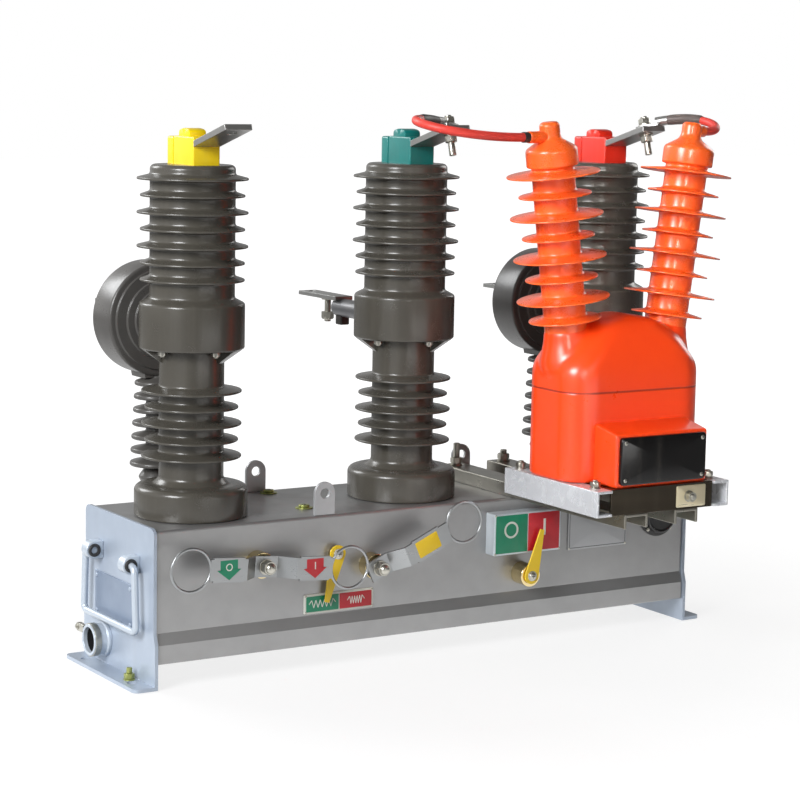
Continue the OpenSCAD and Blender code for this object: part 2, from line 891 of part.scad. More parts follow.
// Where a lead meets its lug, half a lug's length from the bolt
function lead_end(x, turn) = over_bar(x, lead_lug_l / 2 * cos(turn), hole_v() - lead_lug_l / 2 * sin(turn), lead_r * 1.2);

// A lead's lug on a bar, turned to meet the lead
module lead_lug(x, turn) {
  on_bar(x)
    translate([0, -hole_v(), 0])
      rotate([0, 0, turn])
        translate([-lead_lug_l * 0.4, -lead_lug_w / 2, 0])
          cube([lead_lug_l * 1.1, lead_lug_w, lead_lug_t]);
}

module lead_green() {
  a = lead_start(-1);
  b = lead_end(poles[1], lug_turns[0]);
  color("red") {
    lead(-1, [for (t = lead_share) curve(a, a + lead_bend * green_out_share, b + lead_bend * green_in_share, b, t)]);
    lead_lug(poles[1], lug_turns[0]);
  }
}

module lead_red() {
  a = lead_start(1);
  b = lead_end(poles[2], lug_turns[1]);
  color("red") {
    lead(1, [for (t = lead_share) curve(a, a + lead_loop * red_out_share, b + lead_loop * red_in_share, b, t)]);
    lead_lug(poles[2], lug_turns[1]);
  }
}

// A boss on the face, bored for its shaft
module boss(x, z, r, h, bore) {
  translate([x, front, z])
    rotate([90, 0, 0])
      difference() {
        cylinder(r = r, h = h);
        translate([0, 0, -cut])
          cylinder(r = bore + run_gap, h = h + 2 * cut);
      }
}

module shaft_bosses() {
  color("goldenrod") {
    boss(rocker_x, rocker_z, boss_r, boss_h, shaft_r);
    boss(charge_x, charge_z, boss_r, boss_h, shaft_r);
    boss(position_x, position_z, position_boss_r, position_boss_h, pin_r);
    boss(charged_x, charged_z, pin_boss_r, pin_boss_h, pin_r);
  }
}

// Places a lever at its axis, turned in the plane of the face; z runs out from the face
module at_axis(x, z, turn) {
  translate([x, front, z])
    rotate([90, 0, 0])
      rotate([0, 0, turn])
        children();
}

// Shaft and hub, from the face outwards
module shaft(r, hub, boss_top, out) {
  translate([0, 0, end_gap])
    cylinder(r = r, h = out - end_gap);
  translate([0, 0, boss_top + end_gap])
    cylinder(r = hub, h = out - boss_top - end_gap);
}

// A pull ring of round wire, in the middle of the pads' thickness
module pull_ring(x) {
  translate([x, 0, lever_out - lever_t / 2])
    rotate_extrude()
      translate([ring_r - ring_wire / 2, 0])
        circle(ring_wire / 2);
}

// A flat bar bent in and out: its front line as points along the lever and out from the face
module lever_bar(line) {
  n = len(line) - 1;
  translate([0, lever_h / 2, 0])
    rotate([90, 0, 0])
      linear_extrude(lever_h)
        polygon(concat(line, [for (i = [n:-1:0]) line[i] - [0, lever_t]]));
}

module pad_plate(x) {
  translate([x - pad_plate_l / 2, -pad_plate_h / 2, lever_out - lever_t])
    cube([pad_plate_l, pad_plate_h, lever_t]);
}

module rocker_lever() {
  e = rocker_arm - ring_r + ring_wire * 0.8;
  color("lightgray")
    at_axis(rocker_x, rocker_z, -rocker_tilt) {
      shaft(shaft_r, hub_r, boss_h, lever_hub_out - lever_t / 2);
      lever_bar([[-e, lever_out], [-bend_end, lever_out], [-bend_start, lever_hub_out],
        [bend_start, lever_hub_out], [bend_end, lever_out], [e, lever_out]]);
      pad_plate(-rocker_pad_x);
      pad_plate(rocker_pad_x);
      pull_ring(-rocker_arm);
      pull_ring(rocker_arm);
    }
}

module charging_lever() {
  e = charge_len - ring_r + ring_wire * 0.8;
  color("lightgray")
    at_axis(charge_x, charge_z, charge_angle) {
      shaft(shaft_r, hub_r, boss_h, lever_hub_out - lever_t / 2);
      lever_bar([[-bend_start, lever_hub_out], [bend_start, lever_hub_out], [bend_end, lever_out],
        [e, lever_out]]);
      pad_plate(charge_pad_x);
      pull_ring(charge_len);
    }
}

// A tapered pointer along +Y of its own drawing
module pointer(x, z, turn, boss_top) {
  out = boss_top + end_gap;
  at_axis(x, z, turn) {
    translate([0, 0, end_gap])
      cylinder(r = pin_r, h = out - end_gap + pointer_t / 2);
    translate([0, 0, out])
      linear_extrude(pointer_t) {
        circle(pointer_hub_r);
        polygon([[-pointer_hub_r, 0], [pointer_hub_r, 0], [pointer_tip_w / 2, pointer_len],
          [-pointer_tip_w / 2, pointer_len]]);
      }
  }
}

module position_pointer() {
  color("gold")
    pointer(position_x, position_z, -position_angle, position_boss_h);
}

module charge_pointer() {
  color("gold")
    pointer(charged_x, charged_z, 180 - charged_angle, pin_boss_h);
}

// A quarter bend in Y and Z: bend radius b about its own corner
module quarter(b, turn) {
  rotate([90, 0, 90])
    rotate([0, 0, turn])
      rotate_extrude(angle = 90)
        translate([b, 0])
          circle(rod_r);
}

// Half of the handle at +X, from the grip's middle to its pin
module handle_half() {
  y = handle_w / 2;
  translate([0, 0, -handle_drop])
    rotate([-90, 0, 0])
      cylinder(r = rod_r, h = y - handle_bend);
  translate([0, y - handle_bend, handle_bend - handle_drop])
    quarter(handle_bend, -90);
  translate([0, y, handle_bend - handle_drop])
    cylinder(r = rod_r, h = handle_drop - handle_bend - pin_bend);
  translate([0, y - pin_bend, -pin_bend])
    quarter(pin_bend, 0);
  translate([0, eye_y - eye_len / 2, 0])
    rotate([-90, 0, 0])
      cylinder(r = rod_r, h = y - pin_bend - eye_y + eye_len / 2);
}

module handle() {
  translate([half_len + handle_out, 0, handle_z]) {
    handle_half();
    mirror([0, 1, 0])
      handle_half();
  }
}

module right_handle() {
  color("silver")
    handle();
}

module left_handle() {
  color("silver")
    mirror([1, 0, 0])
      handle();
}

module eye(side) {
  x = half_len + handle_out;
  translate([0, side * eye_y - eye_len / 2, handle_z])
    difference() {
      union() {
        translate([x, 0, 0])
          rotate([-90, 0, 0])
            cylinder(r = eye_r, h = eye_len);
        translate([half_len, 0, -eye_r])
          cube([handle_out, eye_len, 2 * eye_r]);
      }
      translate([x, -cut, 0])
        rotate([-90, 0, 0])
          cylinder(r = rod_r + run_gap, h = eye_len + 2 * cut);
    }
}

module handle_bosses() {
  color("silver")
    for (s = [-1, 1]) {
      eye(s);
      mirror([1, 0, 0])
        eye(s);
    }
}

module face_plate(x, z, w, h, t) {
  translate([x - w / 2, front - t, z - h / 2])
    cube([w, t, h]);
}

module face_plates() {
  color("white") {
    face_plate(position_label_x, position_label_z, position_label_w, position_label_h, position_label_d);
    face_plate(charge_label_x, charge_label_z, charge_label_w, charge_label_h, label_t);
    face_plate(name_x, name_z, name_w, name_h, label_t);
  }
}

module end_cover() {
  color("lightgray")
    translate([-half_len - label_t, end_cover_y - end_cover_w / 2, end_cover_z - end_cover_h / 2])
      cube([label_t, end_cover_w, end_cover_h]);
}

module control_socket() {
  color("black")
    translate([socket_x, front, socket_z])
      rotate([90, 0, 0]) {
        cylinder(r = socket_r, h = socket_d * 0.6);
        cylinder(r = socket_r * 0.8, h = socket_d);
      }
}

module cable_gland() {
  color("dimgray")
    translate([-half_len, gland_y, gland_z])
      rotate([0, -90, 0])
        difference() {
          union() {
            cylinder(r = gland_r + plate_t / 2, h = plate_t);
            cylinder(r = gland_r, h = gland_len);
          }
          translate([0, 0, plate_t])
            cylinder(r = gland_hole_r, h = gland_len);
        }
}

module pole_a() {
  color("dimgray")
    pole(poles[0]);
}

module pole_b() {
  color("dimgray")
    pole(poles[1]);
}

module pole_c() {
  color("dimgray")
    pole(poles[2]);
}

module cap_yellow() {
  color("gold")
    cap(poles[0]);
}

module cap_green() {
  color("teal")
    cap(poles[1]);
}

module cap_red() {
  color("red")
    cap(poles[2]);
}

module upper_terminal_a() {
  color("silver")
    upper_terminal(poles[0]);
}

module upper_terminal_b() {
  color("silver")
    upper_terminal(poles[1]);
}

module upper_terminal_c() {
  color("silver")
    upper_terminal(poles[2]);
}

module outlet_sleeve_a() {
  color("gray")
    outlet_sleeve(poles[0]);
}

module outlet_sleeve_b() {
  color("gray")
    outlet_sleeve(poles[1]);
}

module outlet_sleeve_c() {
  color("gray")
    outlet_sleeve(poles[2]);
}

module lower_terminal_a() {
  color("silver")
    lower_terminal(poles[0]);
}

module lower_terminal_b() {
  color("silver")
    lower_terminal(poles[1]);
}

module lower_terminal_c() {
  color("silver")
    lower_terminal(poles[2]);
}

module current_transformer_a() {
  color("gray")
    current_transformer(poles[0]);
}

module current_transformer_c() {
  color("gray")
    current_transformer(poles[2] - ct_right_in);
}

housing();
end_plate_left();
end_plate_right();
pole_a();
pole_b();
pole_c();
cap_yellow();
cap_green();
cap_red();
upper_terminal_a();
upper_terminal_b();
upper_terminal_c();
outlet_sleeve_a();
outlet_sleeve_b();
outlet_sleeve_c();
lower_terminal_a();
lower_terminal_b();
lower_terminal_c();
current_transformer_a();
current_transformer_c();
lifting_lugs();
vt_body();
vt_bushing_left();
vt_bushing_right();
vt_terminal_cover();
vt_base_plate();
vt_rail_left();
vt_rail_right();
vt_arm_left();
vt_arm_right();
lead_green();
lead_red();
shaft_bosses();
rocker_lever();
charging_lever();
position_pointer();
charge_pointer();
left_handle();
right_handle();
handle_bosses();
face_plates();
end_cover();
control_socket();
cable_gland();
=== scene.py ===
"""Looks of a pole-mounted outdoor vacuum circuit breaker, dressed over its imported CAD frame.

Lengths are metres in the CAD frame: X runs along the row of poles, -Y is the operating side
and Z is up. Each sub-assembly is a class that holds its sizes, works its surfaces out as
numpy grids and dresses them with finishes made of shader nodes.
"""

import logging
import math
from dataclasses import dataclass, field, replace
from enum import Enum
from typing import Iterator, Sequence

import bmesh
import bpy
import numpy as np
from mathutils import Matrix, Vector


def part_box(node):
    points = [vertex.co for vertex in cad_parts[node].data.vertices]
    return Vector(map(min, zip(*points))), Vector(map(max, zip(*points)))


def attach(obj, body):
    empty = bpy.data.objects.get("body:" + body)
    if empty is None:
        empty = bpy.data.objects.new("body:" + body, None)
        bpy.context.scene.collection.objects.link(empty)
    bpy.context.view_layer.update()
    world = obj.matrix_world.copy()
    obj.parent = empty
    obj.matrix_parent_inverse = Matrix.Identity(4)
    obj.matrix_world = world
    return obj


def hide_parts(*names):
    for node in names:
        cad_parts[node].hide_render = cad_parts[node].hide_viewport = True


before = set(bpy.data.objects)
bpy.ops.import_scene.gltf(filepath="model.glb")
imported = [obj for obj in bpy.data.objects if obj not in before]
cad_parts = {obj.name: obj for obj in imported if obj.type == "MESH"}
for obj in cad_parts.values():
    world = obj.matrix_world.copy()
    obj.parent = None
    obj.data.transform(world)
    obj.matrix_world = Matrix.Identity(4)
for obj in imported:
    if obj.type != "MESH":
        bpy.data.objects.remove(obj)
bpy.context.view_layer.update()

log = logging.getLogger("breaker_scene")

Array = np.ndarray
Colour = tuple[float, float, float]
Rgb = tuple[int, int, int]
Vec = Sequence[float]
Vec2 = tuple[float, float]
Vec3 = tuple[float, float, float]
Row = tuple[float, ...]
Line = tuple[Vec2, ...]
Socket = bpy.types.NodeSocket

BODY = "breaker"
LEFT = (-1.0, 0.0, 0.0)
RIGHT = (1.0, 0.0, 0.0)
OUT = (0.0, -1.0, 0.0)
BACK = (0.0, 1.0, 0.0)
UP = (0.0, 0.0, 1.0)
DOWN = (0.0, 0.0, -1.0)
TURN = 2.0 * math.pi
QUARTER = math.pi / 2
WHITE = (1.0, 1.0, 1.0, 1.0)

FACE_Y = -0.105  # the operating face
SHARP = 38.0  # degrees beyond which an edge stays sharp
SKIN_DEPTH = 0.0002
DUST = (150, 143, 132)
DUST_DULLS = 0.35
# colour of the painted shade in the groove of the transformer's moulded seam
SEAM_SHADE = (110, 14, 3)


def srgb(red: int, green: int, blue: int) -> Colour:
    """Gives the linear colour of three display values from 0 to 255."""
    v = np.array([red, green, blue]) / 255.0
    return tuple(np.where(v <= 0.04045, v / 12.92, ((v + 0.055) / 1.055) ** 2.4).tolist())


def unit(v: Vec) -> Array:
    """Gives the vector of length one in a direction."""
    a = np.asarray(v, float)
    return a / np.linalg.norm(a)


def around(radius: float, degrees: float) -> Vec2:
    """Gives the place at an angle on a circle."""
    a = math.radians(degrees)
    return radius * math.cos(a), radius * math.sin(a)


def corners(width: float, height: float, inset: float) -> Iterator[Vec2]:
    """Gives the four places set in from a plate's corners, counted from its middle."""
    for sx in (-1, 1):
        for sy in (-1, 1):
            yield sx * (width / 2 - inset), sy * (height / 2 - inset)


@dataclass(frozen=True)
class Seat:
    """A place for a shape: an origin, and three unit axes as the rows of an array."""

    origin: Array
    axes: Array

    @classmethod
    def of(cls, origin: Vec, out: Vec = UP, along: Vec = RIGHT) -> "Seat":
        """Makes a seat from two directions.

        Args:
            origin: Where it is.
            out: Direction of its Z.
            along: Direction that its X comes as near to as it can.

        Returns:
            The seat.
        """
        z = unit(out)
        hint = np.asarray(along, float)
        x = unit(hint - z * (z @ hint))
        return cls(np.asarray(origin, float), np.stack([x, np.cross(z, x), z]))

    def point(self, x: float, y: float, z: float) -> Array:
        """Gives the place of a point that is named in the seat's own axes."""
        return self.origin + np.array([x, y, z]) @ self.axes

    def moved(self, x: float = 0.0, y: float = 0.0, z: float = 0.0) -> "Seat":
        """Gives the same seat shifted along its own axes."""
        return Seat(self.point(x, y, z), self.axes)

    def turned(self, degrees: float) -> "Seat":
        """Gives the same seat turned about its own Z."""
        c, s = around(1.0, degrees)
        return Seat(self.origin, np.array([[c, s, 0], [-s, c, 0], [0, 0, 1.0]]) @ self.axes)


@dataclass(frozen=True)
class Surface:
    """A mesh in the making: points, and faces as rows of four indices."""

    points: Array
    quads: Array

    def at(self, seat: Seat) -> "Surface":
        """Gives the surface carried from its own axes into a seat."""
        return Surface(seat.origin + self.points @ seat.axes, self.quads)


def grid(points: Array, closed: bool = True) -> Surface:
    """Joins a grid of points into a surface.

    Point (i, j) makes a quad with (i, j + 1), (i + 1, j + 1) and (i + 1, j).

    Args:
        points: Rows by columns by three coordinates.
        closed: Whether the last column joins the first.

    Returns:
        The surface.
    """
    n = np.arange(points.shape[0] * points.shape[1]).reshape(points.shape[:2])
    a, b = (n, np.roll(n, -1, axis=1)) if closed else (n[:, :-1], n[:, 1:])
    quads = np.stack([a[:-1], b[:-1], b[1:], a[1:]], -1).reshape(-1, 4)
    return Surface(points.reshape(-1, 3), quads)


def capped(rows: Array) -> Surface:
    """Joins rows of points into a surface that closes at both ends in the mean of the end's row."""
    tips = [np.broadcast_to(rows[i].mean(axis=0), rows[i].shape)[None] for i in (0, -1)]
    return grid(np.concatenate([tips[0], rows, tips[1]]))


def soften(line: Array, radius: float, steps: int = 4) -> Array:
    """Rounds the inner corners of a line of points.

    Corner P becomes (1 - s)^2 A + 2 s (1 - s) P + s^2 B, where A and B lie on the two
    neighbouring lines, as far from P as the radius or 0.45 of the line allows.

    Args:
        line: Points as rows, with no two neighbours the same.
        radius: The most that a corner is cut back along its lines.
        steps: Points that each rounded corner gets.

    Returns:
        The rounded line, its first and last points kept.
    """
    p = np.asarray(line, float)
    d = np.diff(p, axis=0)
    size = np.linalg.norm(d, axis=1)
    u = d / size[:, None]
    cut = np.minimum(radius, 0.45 * np.minimum(size[:-1], size[1:]))[:, None]
    a, b, mid = p[1:-1] - u[:-1] * cut, p[1:-1] + u[1:] * cut, p[1:-1]
    s = np.linspace(0, 1, steps)[:, None, None]
    bent = (1 - s) ** 2 * a + 2 * s * (1 - s) * mid + s**2 * b
    return np.vstack([p[:1], bent.transpose(1, 0, 2).reshape(-1, p.shape[1]), p[-1:]])


def revolve(profile: Array, segments: int) -> Surface:
    """Carries a profile of radius and height round Z: (r cos t, r sin t, h).

    Args:
        profile: Rows of radius and height.
        segments: Columns round the axis.

    Returns:
        The surface of revolution.
    """
    t = np.linspace(0, TURN, segments, endpoint=False)
    r, h = profile[:, :1], profile[:, 1:2]
    return grid(np.stack([r * np.cos(t), r * np.sin(t), h + 0 * t], -1))


def hoop(inner: float, outer: float, height: float) -> Array:
    """Gives the closed profile of a flat ring on Z 0."""
    return np.array([[inner, 0], [inner, height], [outer, height], [outer, 0], [inner, 0]])


def rect_ring(width: Array, depth: Array, corner: Array, arc: int) -> Array:
    """Gives points round rectangles with round corners.

    Each corner is its centre plus its radius times (cos t, sin t) over a quarter turn.

    Args:
        width: Widths, one for each rectangle.
        depth: Depths, one for each rectangle.
        corner: Radii, one row of four for each rectangle, from +X+Y anticlockwise.
        arc: Points on each corner.

    Returns:
        Rectangles by points by X and Y.
    """
    t = np.linspace(0, QUARTER, arc) + np.arange(4)[:, None] * QUARTER
    side = np.array([[1, 1], [-1, 1], [-1, -1], [1, -1]])
    r = np.asarray(corner, float)[:, :, None]
    w, d = (np.asarray(v, float)[:, None, None] / 2 for v in (width, depth))
    x = side[:, :1] * (w - r) + r * np.cos(t)
    y = side[:, 1:] * (d - r) + r * np.sin(t)
    return np.stack([x, y], -1).reshape(len(w), -1, 2)


def stacked(rings: Array, heights: Array) -> Surface:
    """Closes a stack of rings of X and Y, each at its height, with a point at both ends."""
    z = np.broadcast_to(np.asarray(heights)[:, None, None], rings.shape[:2] + (1,))
    return capped(np.concatenate([rings, z], -1))


def block(size: Vec, corner: float | Vec, edge: float, arc: int = 5) -> Surface:
    """A box on Z 0 with round corners and a rounded top edge.

    Ring s of the edge is inset by edge (1 - sin s) at the height h - edge (1 - cos s), for s from a
    quarter turn to 0.

    Args:
        size: Width, depth and height.
        corner: One radius, or four from +X+Y anticlockwise.
        edge: Radius of the top edge.
        arc: Points on each corner.

    Returns:
        The closed surface.
    """
    w, d, h = size
    s = np.linspace(QUARTER, 0, 5)
    inset = np.concatenate([[0.0], edge * (1 - np.sin(s))])
    z = np.concatenate([[0.0], h - edge * (1 - np.cos(s))])
    r = np.maximum(np.broadcast_to(np.asarray(corner, float), 4)[None] - inset[:, None], 1e-4)
    return stacked(rect_ring(w - 2 * inset, d - 2 * inset, r, arc), z)


def slab(outline: Array, depth: float, edge: float) -> Surface:
    """A flat plate over an outline, its upper edge cut back a little towards the middle.

    Args:
        outline: Points of X and Y as rows.
        depth: Thickness of the plate.
        edge: How far the upper edge is cut back.

    Returns:
        The closed surface.
    """
    p = np.asarray(outline, float)
    mid = p.mean(axis=0)
    share = 1 - edge / np.linalg.norm(p - mid, axis=1).max()
    rings = np.stack([p, p, mid + (p - mid) * share])
    return stacked(rings, np.array([0.0, depth - min(edge, depth / 2), depth]))


def tube(path: Array, radius: float | Array, sides: int = 20, hint: Vec = UP) -> Surface:
    """Carries a circle along a path: P + r (cos t N + sin t B), N and B across the path.

    Args:
        path: Points of the path as rows.
        radius: One radius, or one for each point.
        sides: Points round the circle.
        hint: A direction that the path never runs along.

    Returns:
        The closed tube.
    """
    along = np.gradient(path, axis=0)
    along /= np.linalg.norm(along, axis=1)[:, None]
    n = np.cross(along, np.asarray(hint, float))
    n /= np.linalg.norm(n, axis=1)[:, None]
    b = np.cross(along, n)
    t = np.linspace(0, TURN, sides, endpoint=False)[None, :, None]
    r = np.broadcast_to(radius, len(path))[:, None, None]
    return capped(path[:, None] + r * (np.cos(t) * n[:, None] + np.sin(t) * b[:, None]))


def hexagon(across: float, height: float, dome: float = 0.0) -> Surface:
    """A hexagon head or nut on Z 0, chamfered on top, with a dome where one is asked for.

    The side's radius is (across / 2) / cos(((t + 30) mod 60) - 30); the dome's is the crown times
    cos s, at the height plus dome times sin s.

    Args:
        across: Width across the flats.
        height: Height of the flats.
        dome: Height of the dome over them.

    Returns:
        The closed surface.
    """
    shoulder, chamfer, crown = 0.84 * height, 0.51 * across, 0.42 * across
    t = np.linspace(0, TURN, 36, endpoint=False)
    side = across / 2 / np.cos((t + math.pi / 6) % (math.pi / 3) - math.pi / 6)
    s = np.linspace(0, QUARTER, 6)[:, None]
    r = np.vstack([side, side, np.minimum(side, chamfer), crown * np.cos(s) + 0 * t])
    z = np.concatenate([[0, shoulder, height], height + dome * np.sin(s[:, 0])])
    return stacked(np.stack([r * np.cos(t), r * np.sin(t)], -1), z)


def disc(radius: float, height: float, edge: float = 0.0004, segments: int = 32) -> Surface:
    """A round plate on Z 0 with its upper edge rounded."""
    line = np.array([[0, 0], [radius, 0], [radius, height], [0, height]])
    return revolve(soften(line, edge), segments)


class Grain(Enum):
    """Skins that a finish can have: stretch of the pattern, fine detail, and whether it has cells."""

    PEEL = ((1.0, 1.0, 1.0), 2.0, False)
    CAST = ((1.0, 1.0, 1.0), 6.0, False)
    BRUSHED = ((0.04, 1.0, 1.0), 4.0, False)
    SPANGLE = ((1.0, 1.0, 1.0), 3.0, True)
    RUBBER = ((1.0, 1.0, 1.0), 8.0, False)


@dataclass(frozen=True)
class Graph:
    """A node tree in the making."""

    tree: bpy.types.NodeTree

    def add(self, kind: str, inputs: dict | None = None, **settings: object) -> bpy.types.Node:
        """Adds a node, with its settings, and its inputs linked or set.

        Args:
            kind: The node's class without the ShaderNode in front.
            inputs: Socket name or number to a socket or a value.
            **settings: Properties of the node.

        Returns:
            The node.
        """
        node = self.tree.nodes.new(kind if kind.startswith("Node") else "ShaderNode" + kind)
        for key, value in settings.items():
            setattr(node, key, value)
        for key, value in (inputs or {}).items():
            if isinstance(value, Socket):
                self.tree.links.new(value, node.inputs[key])
            else:
                node.inputs[key].default_value = value
        return node

    def noise(self, vector: Socket, scale: float | Socket, detail: float = 3.0) -> Socket:
        """Adds a noise pattern and gives its value."""
        return self.add("TexNoise", {"Vector": vector, "Scale": scale, "Detail": detail}).outputs[0]

    def spread(self, value: Socket, low: float, high: float, to: Vec = (0.0, 1.0)) -> Socket:
        """Maps a value from one span to another, held at its ends."""
        sockets = {"Value": value, "From Min": low, "From Max": high, "To Min": to[0], "To Max": to[1]}
        return self.add("MapRange", sockets).outputs[0]

    def sum(self, kind: str, a: Socket, b: float | Socket) -> Socket:
        """Joins two values with one operation of the Math node."""
        return self.add("Math", {0: a, 1: b}, operation=kind).outputs[0]

    def blend(self, share: float, a: Socket, b: Socket) -> Socket:
        """Adds two values, the first times a share and the second times the rest of one."""
        return self.sum("ADD", self.sum("MULTIPLY", a, share), self.sum("MULTIPLY", b, 1 - share))

    def mix(self, share: Socket, a: Colour | Socket, b: Colour | Socket) -> Socket:
        """Mixes two colours by a share."""
        full = [(*c, 1.0) if isinstance(c, tuple) else c for c in (a, b)]
        return self.add("Mix", {0: share, 6: full[0], 7: full[1]}, data_type="RGBA").outputs[2]


def group(name: str, inputs: dict[str, str], outputs: Sequence[str]) -> "tuple[Graph, bpy.types.NodeOutputs]":
    """Starts a shader node group.

    Args:
        name: The group's name.
        inputs: Name of each input to its kind, Float or Vector.
        outputs: Names of the values that the group puts out.

    Returns:
        The group's graph, and its input sockets by name.
    """
    tree = bpy.data.node_groups.new(name, "ShaderNodeTree")
    for key, kind in inputs.items():
        tree.interface.new_socket(key, in_out="INPUT", socket_type="NodeSocket" + kind)
    for key in outputs:
        tree.interface.new_socket(key, in_out="OUTPUT", socket_type="NodeSocketFloat")
    graph = Graph(tree)
    return graph, graph.add("NodeGroupInput").outputs


def skin_group(grain: Grain) -> bpy.types.NodeTree:
    """Builds, once, the group for a skin: fine height, blotchy tone and uneven gloss, each 0 to 1.

    Args:
        grain: The skin.

    Returns:
        The node group, with the inputs Vector and Scale.
    """
    name = "skin_" + grain.name.lower()
    if name in bpy.data.node_groups:
        return bpy.data.node_groups[name]
    broad_scale, patch_scale, flake_scale = 7.0, 38.0, 90.0
    stretch, detail, cells = grain.value
    g, given = group(name, {"Vector": "Vector", "Scale": "Float"}, ("Height", "Tone", "Gloss"))
    place = g.add("Mapping", {"Vector": given["Vector"], "Scale": stretch}).outputs[0]
    fine = g.noise(place, given["Scale"], detail)
    broad = g.noise(given["Vector"], broad_scale, 4.0)
    patch = g.noise(place, patch_scale)
    if cells:
        flakes = g.add("TexVoronoi", {"Vector": given["Vector"], "Scale": flake_scale}).outputs["Color"]
        patch = g.add("SeparateColor", {0: flakes}).outputs[0]
    tone = g.spread(g.blend(0.55, broad, patch), 0.3, 0.7)
    gloss = g.spread(g.blend(0.6, patch, fine), 0.25, 0.75)
    g.add("NodeGroupOutput", {"Height": fine, "Tone": tone, "Gloss": gloss})
    return g.tree


def weather_group() -> bpy.types.NodeTree:
    """Builds, once, the group for dust on upward faces and streaks down the sides, each 0 to 1.

    Returns:
        The node group, with the inputs Vector and Normal.
    """
    name = "weather"
    if name in bpy.data.node_groups:
        return bpy.data.node_groups[name]
    dust_scale, streak_scale = 22.0, (70.0, 70.0, 3.0)
    g, given = group(name, {"Vector": "Vector", "Normal": "Vector"}, ("Dust", "Streaks"))
    rise = g.add("SeparateXYZ", {0: given["Normal"]}).outputs[2]
    settled = g.spread(g.noise(given["Vector"], dust_scale, 5.0), 0.35, 0.7)
    dust = g.sum("MULTIPLY", g.spread(rise, 0.25, 1.0), settled)
    tall = g.add("Mapping", {"Vector": given["Vector"], "Scale": streak_scale}).outputs[0]
    streaks = g.spread(g.noise(tall, 1.0, 4.0), 0.52, 0.8)
    g.add("NodeGroupOutput", {"Dust": dust, "Streaks": streaks})
    return g.tree


@dataclass(frozen=True)
class Finish:
    """A finish: its colours in display values, its skin and how far it is weathered."""

    name: str
    colour: Rgb
    tint: Rgb
    grain: Grain = Grain.PEEL
    scale: float = 900.0
    bump: float = 0.1
    rough: Vec2 = (0.35, 0.5)
    metallic: float = 0.0
    coat: float = 0.0
    coat_rough: float = 0.12
    dust: float = 0.1
    streaks: float = 0.06
    seam: float | None = None

    def dyed(self, name: str, colour: Rgb, tint: Rgb, **changes: object) -> "Finish":
        """Gives a finish like this one in other colours, with what else changes."""
        return replace(self, name=name, colour=colour, tint=tint, **changes)

    def material(self) -> bpy.types.Material:
        """Builds the finish's material, or gives the one already built.

        Returns:
            The material: tone, streaks and dust mixed into the base colour, gloss into the roughness
            and the skin's height into a bump.
        """
        key = self.name + "_finish"
        if key in bpy.data.materials:
            return bpy.data.materials[key]
        made = bpy.data.materials.new(key)
        made.use_nodes = True
        made.node_tree.nodes.clear()
        g = Graph(made.node_tree)
        where = g.add("TexCoord").outputs
        sockets = {"Vector": where["Object"], "Scale": self.scale}
        skin = g.add("Group", sockets, node_tree=skin_group(self.grain)).outputs
        sockets = {"Vector": where["Object"], "Normal": where["Normal"]}
        age = g.add("Group", sockets, node_tree=weather_group()).outputs
        dirt = srgb(*DUST)
        dust = g.sum("MULTIPLY", age["Dust"], self.dust)
        colour = g.mix(skin["Tone"], srgb(*self.colour), srgb(*self.tint))
        colour = g.mix(g.sum("MULTIPLY", age["Streaks"], self.streaks), colour, dirt)
        colour = g.mix(dust, colour, dirt)
        rough = g.spread(skin["Gloss"], 0.0, 1.0, self.rough)
        rough = g.sum("ADD", rough, g.sum("MULTIPLY", dust, DUST_DULLS))
        sockets = {"Height": skin["Height"], "Strength": self.bump, "Distance": SKIN_DEPTH}
        bump = g.add("Bump", sockets).outputs[0]
        if self.seam is not None:
            colour, bump = self.moulded_seam(g, where["Object"], colour, bump)
        sockets = {
            "Base Color": colour,
            "Roughness": rough,
            "Metallic": self.metallic,
            "Coat Weight": self.coat,
            "Coat Roughness": self.coat_rough,
            "Normal": bump,
        }
        shader = g.add("BsdfPrincipled", sockets)
        g.add("OutputMaterial", {"Surface": shader.outputs[0]})
        return made

    def moulded_seam(self, g: Graph, place: Socket, colour: Socket, bump: Socket) -> tuple[Socket, Socket]:
        """Draws a level seam, a little sunk and darkened by painted shade in its groove, at the finish's height for
        it.

        Args:
            g: The material's graph.
            place: Object coordinates.
            colour: The colour so far.
            bump: The normal so far.

        Returns:
            The colour and the normal with the seam.
        """
        rise = g.add("SeparateXYZ", {0: place}).outputs[2]
        away = g.sum("ABSOLUTE", g.sum("SUBTRACT", rise, self.seam), 0.0)
        line = g.spread(away, 0.0006, 0.0022)
        # painted shade: the colour darkens towards the seam colour in the groove's middle
        colour = g.mix(g.spread(line, 0.0, 0.9, (0.7, 0.0)), colour, srgb(*SEAM_SHADE))
        sockets = {"Height": line, "Strength": 0.6, "Distance": 0.0008, "Normal": bump}
        return colour, g.add("Bump", sockets).outputs[0]


HOUSING_PAINT = Finish(
    "housing_paint", (154, 154, 154), (145, 145, 145), scale=1400, rough=(0.3, 0.4), metallic=0.65, streaks=0.03
)
PLATE_PAINT = Finish(
    "plate_paint", (172, 183, 197), (162, 173, 188), scale=1400, bump=0.08, rough=(0.32, 0.42), metallic=0.3
)
HANDLE_PAINT = PLATE_PAINT.dyed("handle_paint", (192, 201, 211), (180, 190, 201), scale=1600, rough=(0.28, 0.4))
COVER_PAINT = PLATE_PAINT.dyed("end_cover_paint", (136, 149, 168), (126, 139, 158), scale=1500, rough=(0.34, 0.46))
LUG_STEEL = Finish(
    "lug_steel", (176, 177, 178), (162, 163, 165), scale=1300, bump=0.12, rough=(0.34, 0.46), metallic=0.45
)
BOX_STEEL = Finish(
    "label_box_steel", (204, 211, 216), (192, 200, 206), scale=1500, bump=0.06, rough=(0.26, 0.38), metallic=0.35
)
ARM_STEEL = Finish(
    "arm_steel", (146, 143, 134), (132, 129, 121), bump=0.06, rough=(0.24, 0.36), metallic=0.9, dust=0.02
)
